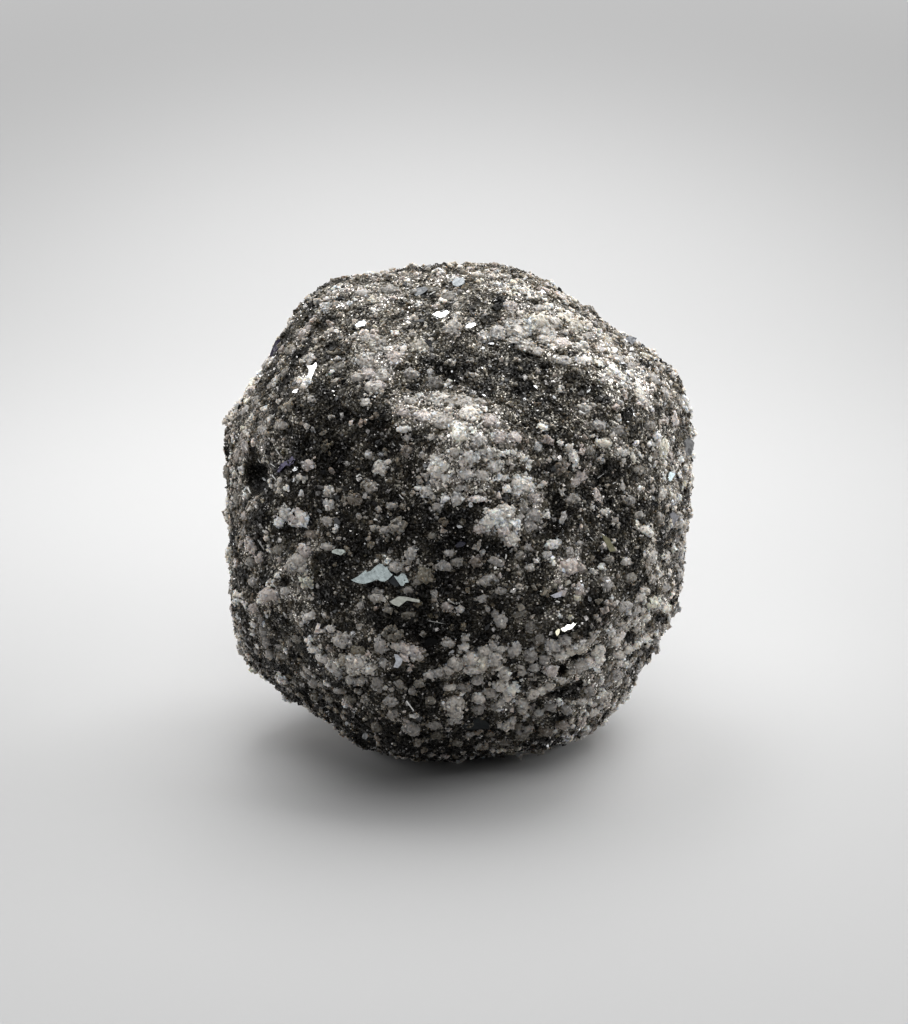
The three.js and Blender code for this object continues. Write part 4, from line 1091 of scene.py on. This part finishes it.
# painted light and shade: towards the top the pale crystals are painted darker and the dark ones paler
painted_top_light = top_light_weight(fw) * np.clip(1.0 + fp, 0, 1)
fl = np.where(rng.random(len(fu)) < np.clip(0.25 + 0.20 * fp, 0.09, 0.85) * clump,
              levels(fp, rng, 0.32, 0.35, 0.55) * np.exp(-0.85 * painted_top_light),
              levels(fp, rng, 0.018, 1.5, 0.7) * np.exp(0.9 * noise(fw, 0.9, 42) + 0.55 * painted_top_light))
fm = np.where(rng.random(len(fl)) < 0.20, 1.0, np.where(fl < 0.05, 0.5, 0.0))
print("fine crystals", len(fu))
make_grains("fine_crystal", OCT, OCT_FACES, fu, fw, fr, fl, fm, DUST, rng, 190000, out=0.55, smooth=0.0,
            rough=0.25, stretch=0.5)

# ------------------------------------------------------------------ hematite plates
def plates(name, u, w, size, lean, turn, tint, rng, thick=0.07, lift=0.25, corners=6):
    n = smooth_normal(u)
    t, b = tangents(n)
    up = unit(n + np.tan(lean)[:, None] * (t * np.cos(turn)[:, None] + b * np.sin(turn)[:, None]))
    e, f = tangents(up)
    spin = 2 * math.pi * rng.random(len(u))
    a = np.arange(corners) * 2 * math.pi / corners
    count = len(u)
    rr = size[:, None] * (1 + 0.45 * rng.uniform(-1, 1, (count, corners)))
    long = rng.uniform(0.45, 1.0, count)[:, None]
    x, y = rr * np.cos(a[None]), rr * np.sin(a[None]) * long
    xs = x * np.cos(spin)[:, None] - y * np.sin(spin)[:, None]
    ys = x * np.sin(spin)[:, None] + y * np.cos(spin)[:, None]
    mid = w + n * (lift * size)[:, None]
    top = mid[:, None] + e[:, None] * xs[..., None] + f[:, None] * ys[..., None]
    low = top - up[:, None] * thick
    co = np.concatenate([top, low], 1)
    c = corners
    tri = [(0, k, k + 1) for k in range(1, c - 1)] + [(c, c + k + 1, c + k) for k in range(1, c - 1)]
    for k in range(c):
        l = (k + 1) % c
        tri += [(k, c + k, c + l), (k, c + l, l)]
    tri = np.array(tri)
    faces = (tri[None] + (np.arange(count) * 2 * c)[:, None, None]).reshape(-1, 3)
    co[..., 2] = np.maximum(co[..., 2], 0.02)
    form = np.concatenate([np.stack([np.cos(a), np.sin(a), 0 * a + 0.3], 1), np.stack([np.cos(a), np.sin(a), 0 * a - 0.3], 1)])
    side = int(math.ceil(math.sqrt(count)))
    flatuv = np.concatenate([np.stack([0.5 + 0.3 * np.cos(a), 0.5 + 0.3 * np.sin(a)], 1),
                             np.stack([0.5 + 0.44 * np.cos(a), 0.5 + 0.44 * np.sin(a)], 1)])
    k = np.arange(count)
    origin = np.stack([k % side, k // side], 1) / side
    uv = (origin[:, None, None, :] + flatuv[tri][None] / side).reshape(-1, 2)
    piece = write_mesh(name, co.reshape(-1, 3), faces, np.repeat(tint, 2 * c, 0),
                       np.ones(count * 2 * c), uv=uv)
    finish_piece(piece, PLATES)


rng = np.random.default_rng(SEED + 4)
count = 1700
z = 2 * rng.random(count) - 1
t = 2 * math.pi * rng.random(count)
q = np.sqrt(1 - z * z)
pu = np.stack([q * np.cos(t), q * np.sin(t), z], 1)
pw, foot = surface(pu)
keep = ~foot & (pw[:, 2] > 0.8)
pu, pw = pu[keep], pw[keep]
size = 0.14 + 0.34 * rng.random(len(pu)) ** 3
grey = rng.uniform(0.10, 0.95, (len(pu), 1)) ** 2.2 * np.array((0.60, 0.61, 0.62))
plates("hematite_flake", pu, pw, size, np.abs(rng.normal(0, 0.7, len(pu))).clip(0, 1.3),
       2 * math.pi * rng.random(len(pu)), grey, rng, lift=0.6)


# tiny mirrors that happen to catch the light
rng = np.random.default_rng(SEED + 7)
count = 4200
z = 2 * rng.random(count) - 1
t = 2 * math.pi * rng.random(count)
q = np.sqrt(1 - z * z)
gu = np.stack([q * np.cos(t), q * np.sin(t), z], 1)
gw, foot = surface(gu)
aim = unit(np.array([[0.13, -0.40, 0.91]]) + 0.16 * rng.standard_normal((count, 3)))
keep = ~foot & ((smooth_normal(gu) * aim).sum(1) > 0.35) & (noise(gw, 2.0, 44) + 0.3 * rng.standard_normal(count) > 0.0)
gu, gw, aim = gu[keep], gw[keep], aim[keep]
gn = smooth_normal(gu)
size = 0.05 + 0.10 * rng.random(len(gu)) ** 2
co_faces = (OCT_FACES[None] + (np.arange(len(gu)) * 6)[:, None, None]).reshape(-1, 3)
# turned so that their broad side faces the way they catch the light
e, f = tangents(aim)
spin = 2 * math.pi * rng.random((len(gu), 1))
e, f = e * np.cos(spin) + f * np.sin(spin), f * np.cos(spin) - e * np.sin(spin)
flat_form = np.array([(0, 0, 0.1), (1, 0, 0), (0, 0.6, 0), (-0.8, 0.1, 0), (0.1, -0.7, 0), (0, 0, -0.3)])
wobble = 1 + 0.3 * rng.uniform(-1, 1, (len(gu), 6, 1))
shape = flat_form[None] * wobble
co = (gw + 0.20 * gn)[:, None] + size[:, None, None] * (
    shape[..., 0:1] * e[:, None] + shape[..., 1:2] * f[:, None] + shape[..., 2:3] * aim[:, None])
co = co.reshape(-1, 3)
co[:, 2] = np.maximum(co[:, 2], 0.02)
glitter_tint = np.repeat(rng.uniform(0.10, 0.75, (len(gu), 1)) * np.array((1.0, 0.99, 0.96)), 6, 0)
glitter = write_mesh("glitter", co, co_faces, glitter_tint, np.full(len(co), 1.0), uv=cell_uv(len(gu), OCT, OCT_FACES))
finish_piece(glitter, PLATES)

ABOVE = np.array([[0.13, -0.40, 0.91]])
AHEAD = np.array([[0.11, -0.79, 0.59]])


def drawn_plate(name, outline, tint, metal, lean=(0.0, 0.0), raise_by=0.45, thick=0.12, facing=None):
    """A flat plate whose outline is drawn in picture coordinates, lying on the mass."""
    pts = np.array(outline, float)
    mid = pts.mean(0)
    u = direction_of([mid[0]], [mid[1]])
    w, _ = surface(u)
    n = smooth_normal(u)
    # lean: how far the plate turns to the right and up from the mass's own surface
    right = np.array([[1.0, 0, 0]])
    upward = np.array([[0, math.sin(TILT), math.cos(TILT)]])
    n = unit(n + lean[0] * right + lean[1] * upward) if facing is None else unit(facing)
    # never so steep to the line of sight that its drawn outline would be drawn out long
    sight = np.array([[0, -math.cos(TILT), math.sin(TILT)]])
    while facing is None and (n * sight).sum() < 0.72:
        n = unit(n + 0.1 * sight)
    centre = w + smooth_normal(u) * raise_by
    # cast each corner of the outline on the plate's plane, along the line of sight
    eye = to_world(np.array([[AIM_X, -CAMERA_FAR, 0.0]]))[0]
    k = 1.0
    far = to_world(np.stack([(pts[:, 0] - 454) * UNIT + AIM_X, np.zeros(len(pts)), (512 - pts[:, 1]) * UNIT], 1))
    ray = far - eye
    s = ((centre[0] - eye) @ n[0]) / (ray @ n[0])
    top = eye + ray * s[:, None]
    low = top - n * thick
    m = len(pts)
    me = bpy.data.meshes.new(name)
    verts = [tuple(v * 0.001) for v in np.concatenate([top, low])]
    polys = [tuple(range(m)), tuple(range(2 * m - 1, m - 1, -1))]
    for k in range(m):
        l = (k + 1) % m
        polys.append((k, m + k, m + l, l))
    me.from_pydata(verts, [], polys)
    me.update()
    if me.polygons[0].normal.dot(Vector(n[0])) < 0:
        me.flip_normals()
    rgba = np.ones((len(me.vertices), 4), np.float32)
    rgba[:, :3] = tint
    me.attributes.new("tint", "FLOAT_COLOR", "POINT").data.foreach_set("color", rgba.ravel())
    me.attributes.new("metal", "FLOAT", "POINT").data.foreach_set("value", np.full(len(me.vertices), metal, np.float32))
    piece = bpy.data.objects.new(name, me)
    bpy.context.scene.collection.objects.link(piece)
    finish_piece(piece, PLATES)


BLUE_GREY = (0.088, 0.101, 0.102)
drawn_plate("leaf_plate_left", [
    (351, 580), (357.4, 576.7), (365.7, 570), (367, 572.2), (370.8, 570.6), (374.6, 567.1), (379.7, 563.3),
    (384.2, 562), (389.3, 564.6), (389, 570), (393.1, 574.4), (388, 579.5), (384.2, 581.8), (380.4, 581.1),
    (376.6, 579.2), (373.4, 581.1), (368.3, 582.7), (363.8, 584), (358.1, 583), (353.6, 581.5)],
    BLUE_GREY, 1.0, facing=AHEAD, raise_by=1.1)
drawn_plate("leaf_plate_right", [
    (393.8, 575.7), (397.6, 576.7), (402.1, 572.8), (405.3, 573.8), (407.2, 578.3), (409.1, 582.4),
    (405.3, 582.7), (403.3, 585.9), (400.8, 585.6), (398.2, 582.1)], BLUE_GREY, 1.0, facing=AHEAD, raise_by=0.6)
drawn_plate("leaf_plate_shade", [
    (393.2, 575.9), (396.5, 580), (399.6, 585.2), (396.5, 587), (391.5, 584), (387.5, 581.2), (390, 579)],
    (0.030, 0.034, 0.037), 0.0, raise_by=0.45)
drawn_plate("small_plate_left", [
    (331.9, 550.5), (335.7, 548.9), (345, 549.6), (345.3, 552.1), (340.8, 555.3), (331.9, 552.8)],
    (0.092, 0.100, 0.094), 1.0, facing=AHEAD, raise_by=0.55)
drawn_plate("purple_flake", [
    (277, 471.5), (280.5, 464.5), (285, 461.5), (289.5, 459.5), (293.5, 454), (298, 449.5),
    (296, 458), (293.5, 463), (289, 466), (286, 465), (282.5, 468.5), (279, 472.5)],
    (0.016, 0.012, 0.038), 0.5, raise_by=0.22)
drawn_plate("purple_flake_upper", [
    (275.5, 340.5), (279.5, 338.5), (280.5, 347), (276, 353), (269, 357), (271.5, 350)], (0.02, 0.016, 0.035), 0.2, raise_by=0.2)
drawn_plate("blue_flake_middle", [
    (455, 545.5), (460, 541.5), (466, 543), (463, 546.5), (457, 547.5)], (0.008, 0.008, 0.022), 0.0)
drawn_plate("cream_plate", [
    (389.5, 601.5), (398.7, 596.3), (406.7, 596.9), (419.4, 599.8), (419.4, 602.6), (406.7, 600.3),
    (398.7, 606.6), (393, 604.4)], (0.39, 0.40, 0.36), 0.0, raise_by=0.4)
drawn_plate("olive_plate", [
    (601.2, 533.7), (609.2, 538.3), (616.1, 550.9), (610.4, 552), (605.8, 544)], (0.145, 0.138, 0.085), 0.0, raise_by=0.4)
drawn_plate("right_edge_plate", [
    (674.7, 448.7), (686, 438.4), (690, 437.2), (694.5, 443), (691.5, 455.7), (679.3, 456.7)],
    (0.036, 0.037, 0.038), 0.0, raise_by=0.3)
drawn_plate("right_grey_plate", [
    (663.8, 517), (673.5, 511.8), (679.3, 516.4), (675.8, 523.3), (669.5, 530.2)], (0.17, 0.17, 0.185), 0.0, raise_by=0.4)
# painted highlight: a pale plate, not a mirror, whose colour stands for a light blue glint
drawn_plate("light_blue_painted_glint", [
    (667.8, 476.3), (670.6, 471.7), (675.6, 474), (670.6, 481.4), (668.3, 479.7)], (0.74, 0.88, 0.92), 0.0, raise_by=0.6)
drawn_plate("pale_blue_top", [
    (452, 281.5), (456, 277.5), (464, 278), (465, 283), (458, 286.5), (453, 285)], (0.195, 0.220, 0.235), 0.0, raise_by=0.4)
drawn_plate("grey_blue_top", [
    (413, 293), (417, 288), (425, 286.5), (428, 289.5), (422, 294), (416, 296)], (0.055, 0.062, 0.070), 0.0, raise_by=0.35)
drawn_plate("top_edge_plate", [
    (424.5, 268.5), (430, 264), (431.5, 265.5), (427.5, 270.5)], (0.012, 0.012, 0.014), 0.0, raise_by=0.3)
# glints: pale plates turned to mirror a lamp into the camera; the metal part is a real reflection, their pale colour a
# painted highlight
drawn_plate("upper_left_glint", [
    (316, 362), (317.1, 366), (314.8, 369.4), (313.1, 374), (310.8, 379.7), (305.6, 383.2), (303.9, 389.5),
    (301, 385.5), (304.5, 379.7), (308.5, 374), (309, 369.4), (306.8, 366), (312.5, 365.4)], (0.92, 0.92, 0.92), 0.6, raise_by=0.6, facing=AHEAD)
drawn_plate("upper_left_glint_low", [
    (298.7, 388.2), (299, 391), (295.3, 393), (291.8, 392.2), (294, 390)], (0.92, 0.92, 0.92), 0.6, raise_by=0.6, facing=AHEAD)
drawn_plate("top_glint", [
    (432.6, 314.3), (437.7, 311.4), (441.8, 312.6), (446.4, 310.3), (449.2, 312), (445.2, 316), (440.6, 317.5),
    (435.4, 315.7)], (0.95, 0.95, 0.95), 0.8, raise_by=0.6, facing=ABOVE)
drawn_plate("top_glint_right", [
    (465.9, 325.8), (469.9, 323.2), (475, 322.9), (475.6, 324.9), (471, 327.5), (466.4, 327.8)],
    (0.95, 0.95, 0.95), 0.8, raise_by=0.6, facing=ABOVE)
drawn_plate("top_glint_blue", [
    (355, 325), (359.5, 321.5), (364.5, 320.5), (366, 323), (369, 326), (363, 325.5), (357.5, 327)],
    (0.72, 0.80, 0.86), 0.3, raise_by=0.6, facing=ABOVE)
drawn_plate("low_glint", [
    (562.5, 631), (560.5, 628.5), (565, 627), (567, 624.5), (571, 624.8), (573, 622.6), (577, 622.7), (574, 626.3),
    (571.3, 629), (567, 630), (565.5, 631.3)], (0.95, 0.93, 0.85), 0.8, raise_by=0.7, facing=AHEAD)
drawn_plate("low_glint_side", [
    (555.5, 631.5), (558, 628.5), (560, 629.5), (559.5, 633), (557.5, 636), (556, 634.5)],
    (0.60, 0.56, 0.42), 0.3, raise_by=0.6, facing=AHEAD)
# painted highlight: a pale plate, not a mirror, whose colour stands for a glint
drawn_plate("violet_painted_glint", [
    (550.7, 595.7), (557.6, 592.8), (562.7, 591.6), (561, 596.8), (555.3, 598)], (0.50, 0.50, 0.56), 0.0, raise_by=0.5)
drawn_plate("low_flake", [
    (394.1, 654.3), (397.6, 654.9), (402.7, 660), (401, 664.6), (397.6, 668), (393.5, 667), (395.8, 661.2)],
    (0.50, 0.52, 0.56), 0.0, raise_by=0.7)
drawn_plate("dark_low_plate", [
    (460.7, 726.6), (480.2, 715.1), (489.4, 724.3), (489.4, 728.9), (468.7, 730.1)], (0.014, 0.017, 0.018), 0.7, raise_by=0.3)
drawn_plate("dark_right_plate", [
    (624, 340), (629, 335.5), (637, 338), (634, 343), (630, 346), (626, 344)], (0.05, 0.055, 0.065), 0.0, raise_by=0.3)
drawn_plate("dark_left_oval", [
    (424.5, 641), (429, 637.5), (436, 638.5), (438, 642), (432, 645.5), (425.5, 647)], (0.008, 0.008, 0.008), 1.0, raise_by=0.4)

# thin blades, their pale colour a painted highlight
rng = np.random.default_rng(SEED + 6)
blade = np.array(BLADES)
bu = direction_of((blade[:, 0] + blade[:, 2]) / 2, (blade[:, 1] + blade[:, 3]) / 2)
bw, _ = surface(bu)
bn = smooth_normal(bu)
half = 0.5 * UNIT * lay(bn, (blade[:, 2:3] - blade[:, 0:1]) * RIGHT - (blade[:, 3:4] - blade[:, 1:2]) * UPWARD)
side = 0.36 * UNIT * blade[:, 4:5] * unit(np.cross(bn, half))
mid = bw + 0.38 * bn
tall = 0.06 * bn
corner = []
for end, across, high in ((-1, -1, -1), (1, -0.5, -1), (1, 0.5, -1), (-1, 1, -1), (-1, -1, 1), (1, -0.5, 1), (1, 0.5, 1), (-1, 1, 1)):
    corner.append(mid + end * rng.uniform(0.45, 0.9, (len(blade), 1)) * half
                  + across * rng.uniform(0.3, 1.6, (len(blade), 1)) * side + high * tall)
co = np.stack(corner, 1).reshape(-1, 3)
co_faces = (BLOCK_FACES[None] + (np.arange(len(blade)) * 8)[:, None, None]).reshape(-1, 3)
# painted highlight: the blades' pale tint
painted_glint_tint = rng.uniform(0.30, 0.75, (len(blade), 1)) * np.array((1.0, 1.0, 0.97))
blades = write_mesh("blades_painted_glint", co, co_faces, np.repeat(painted_glint_tint, 8, 0), np.zeros(len(co)),
                    uv=cell_uv(len(blade), BLOCK, BLOCK_FACES))
finish_piece(blades, PLATES)

# ------------------------------------------------------------------ floor, lights, camera
def make_floor():
    me = bpy.data.meshes.new("floor")
    s = 4.0
    me.from_pydata([(-s, -s, 0), (s, -s, 0), (s, s, 0), (-s, s, 0)], [], [(0, 1, 2, 3)])
    floor = bpy.data.objects.new("floor", me)
    bpy.context.scene.collection.objects.link(floor)
    m = bpy.data.materials.new("pale_floor")
    m.use_nodes = True
    b = m.node_tree.nodes["Principled BSDF"]
    nt = m.node_tree
    coord = nt.nodes.new("ShaderNodeTexCoord")
    axis = nt.nodes.new("ShaderNodeSeparateXYZ")
    nt.links.new(coord.outputs["Object"], axis.inputs[0])
    def step(kind, value, second=None):
        n = nt.nodes.new("ShaderNodeMath")
        n.operation = kind
        for k, v in enumerate((value, second)):
            if isinstance(v, (int, float)):
                n.inputs[k].default_value = v
            elif v is not None:
                nt.links.new(v, n.inputs[k])
        return n.outputs[0]

    def ramp(value, low, high, to_low, to_high, kind="LINEAR"):
        n = nt.nodes.new("ShaderNodeMapRange")
        n.interpolation_type = kind
        for k, v in (("From Min", low), ("From Max", high), ("To Min", to_low), ("To Max", to_high)):
            n.inputs[k].default_value = v
        nt.links.new(value, n.inputs["Value"])
        return n.outputs[0]

    x, y = axis.outputs["X"], axis.outputs["Y"]
    # painted light and shade in the floor's colour: paler at both sides of the foot, painted light for a pale room
    # lighting the floor from low down; darker in front of it, a painted shadow; a little paler behind it and a little
    # darker far out to the sides, painted light and shade
    level = 1.0
    for place_x, place_y, half_x, half_y, painted_light_shade in (
            (-0.0204, -0.0020, 0.0131, 0.0197, 0.82), (0.0164, -0.0077, 0.0104, 0.0174, 0.78),
            (-0.0086, -0.0211, 0.0130, 0.0102, -0.46), (-0.0357, 0.0, 0.0166, 0.0407, 0.18),
            (0.0422, 0.0076, 0.0252, 0.0559, 0.14), (-0.0200, 0.1073, 0.1200, 0.0877, 0.19),
            (0.0005, 0.3370, 0.1272, 0.2338, 0.15), (-0.1424, 0.2990, 0.0830, 0.3320, -0.23),
            (0.2013, 0.2445, 0.1402, 0.3493, -0.45)):
        across = step("DIVIDE", step("SUBTRACT", x, place_x), half_x)
        along = step("DIVIDE", step("SUBTRACT", y, place_y), half_y)
        far = step("ADD", step("MULTIPLY", across, across), step("MULTIPLY", along, along))
        level = step("ADD", step("MULTIPLY", step("EXPONENT", step("MULTIPLY", far, -1.0)), painted_light_shade), level)
    # painted light: the floor's colour grows paler further back and far in front, evening out how the lamps' light
    # falls off
    base = step("ADD", ramp(y, -0.12, 0.75, 0.335, 0.50), ramp(y, -0.60, -0.14, 0.32, 0.0))
    base = step("MULTIPLY", base, level)
    # far away it fades into the pale background
    away = step("SQRT", step("ADD", step("MULTIPLY", x, x), step("MULTIPLY", y, y)))
    fade = ramp(away, 0.58, 1.20, 0.0, 1.0, "SMOOTHSTEP")
    nt.links.new(step("MULTIPLY", base, step("SUBTRACT", 1.0, fade)), b.inputs["Base Color"])
    b.inputs["Emission Color"].default_value = (1.0, 1.0, 1.0, 1.0)
    nt.links.new(step("MULTIPLY", fade, 0.60), b.inputs["Emission Strength"])
    m.cycles.emission_sampling = "NONE"
    b.inputs["Roughness"].default_value = 0.8
    b.inputs["Specular IOR Level"].default_value = 0.2
    me.materials.append(m)


make_floor()


def area_light(name, place, aim, size, power, colour=(1, 1, 1)):
    data = bpy.data.lights.new(name, "AREA")
    data.shape = "RECTANGLE"
    data.size, data.size_y = size
    data.energy = power
    data.color = colour
    lamp = bpy.data.objects.new(name, data)
    bpy.context.scene.collection.objects.link(lamp)
    lamp.location = place
    lamp.rotation_mode = "QUATERNION"
    lamp.rotation_quaternion = (Vector(aim) - Vector(place)).to_track_quat("-Z", "Y")
    return lamp


area_light("overhead_softbox", (0.07, 0.15, 0.40), (0, 0.02, 0.03), (0.35, 0.30), 1.8)
area_light("ceiling", (0.1, 0.5, 1.5), (0.1, 0.5, 0), (2.4, 2.4), 27.0)
area_light("front_softbox", (0.20, -0.50, 0.80), (0, 0, 0.03), (0.6, 0.5), 3.4)

area_light("side_left", (-0.90, 0.22, 0.24), (0, 0, 0.02), (0.8, 0.45), 4.5)
area_light("side_right", (0.90, 0.22, 0.24), (0, 0, 0.02), (0.8, 0.45), 4.5)

world = bpy.data.worlds.new("studio")
bpy.context.scene.world = world
world.use_nodes = True
wn = world.node_tree
wn.nodes.clear()
wo = wn.nodes.new("ShaderNodeOutputWorld")
seen = wn.nodes.new("ShaderNodeBackground")
seen.inputs["Color"].default_value = (0.60, 0.60, 0.605, 1)
room = wn.nodes.new("ShaderNodeBackground")
room.inputs["Color"].default_value = (0.15, 0.15, 0.152, 1)
path = wn.nodes.new("ShaderNodeLightPath")
either = wn.nodes.new("ShaderNodeMixShader")
wn.links.new(path.outputs["Is Camera Ray"], either.inputs[0])
wn.links.new(room.outputs[0], either.inputs[1])
wn.links.new(seen.outputs[0], either.inputs[2])
wn.links.new(either.outputs[0], wo.inputs[0])

cam_data = bpy.data.cameras.new("camera")
cam_data.lens = LENS
cam_data.sensor_width = 36.0
cam_data.clip_start, cam_data.clip_end = 0.01, 20.0
cam = bpy.data.objects.new("camera", cam_data)
bpy.context.scene.collection.objects.link(cam)
eye = to_world(np.array([[AIM_X, -CAMERA_FAR, 0.0]]))[0] * 0.001
look = to_world(np.array([[AIM_X, 0.0, 0.0]]))[0] * 0.001
cam.location = eye
cam.rotation_mode = "QUATERNION"
cam.rotation_quaternion = Vector(look - eye).to_track_quat("-Z", "Y")
bpy.context.scene.camera = cam

scene = bpy.context.scene
scene.view_settings.view_transform = "Standard"
scene.view_settings.look = "None"
scene.cycles.use_denoising = True
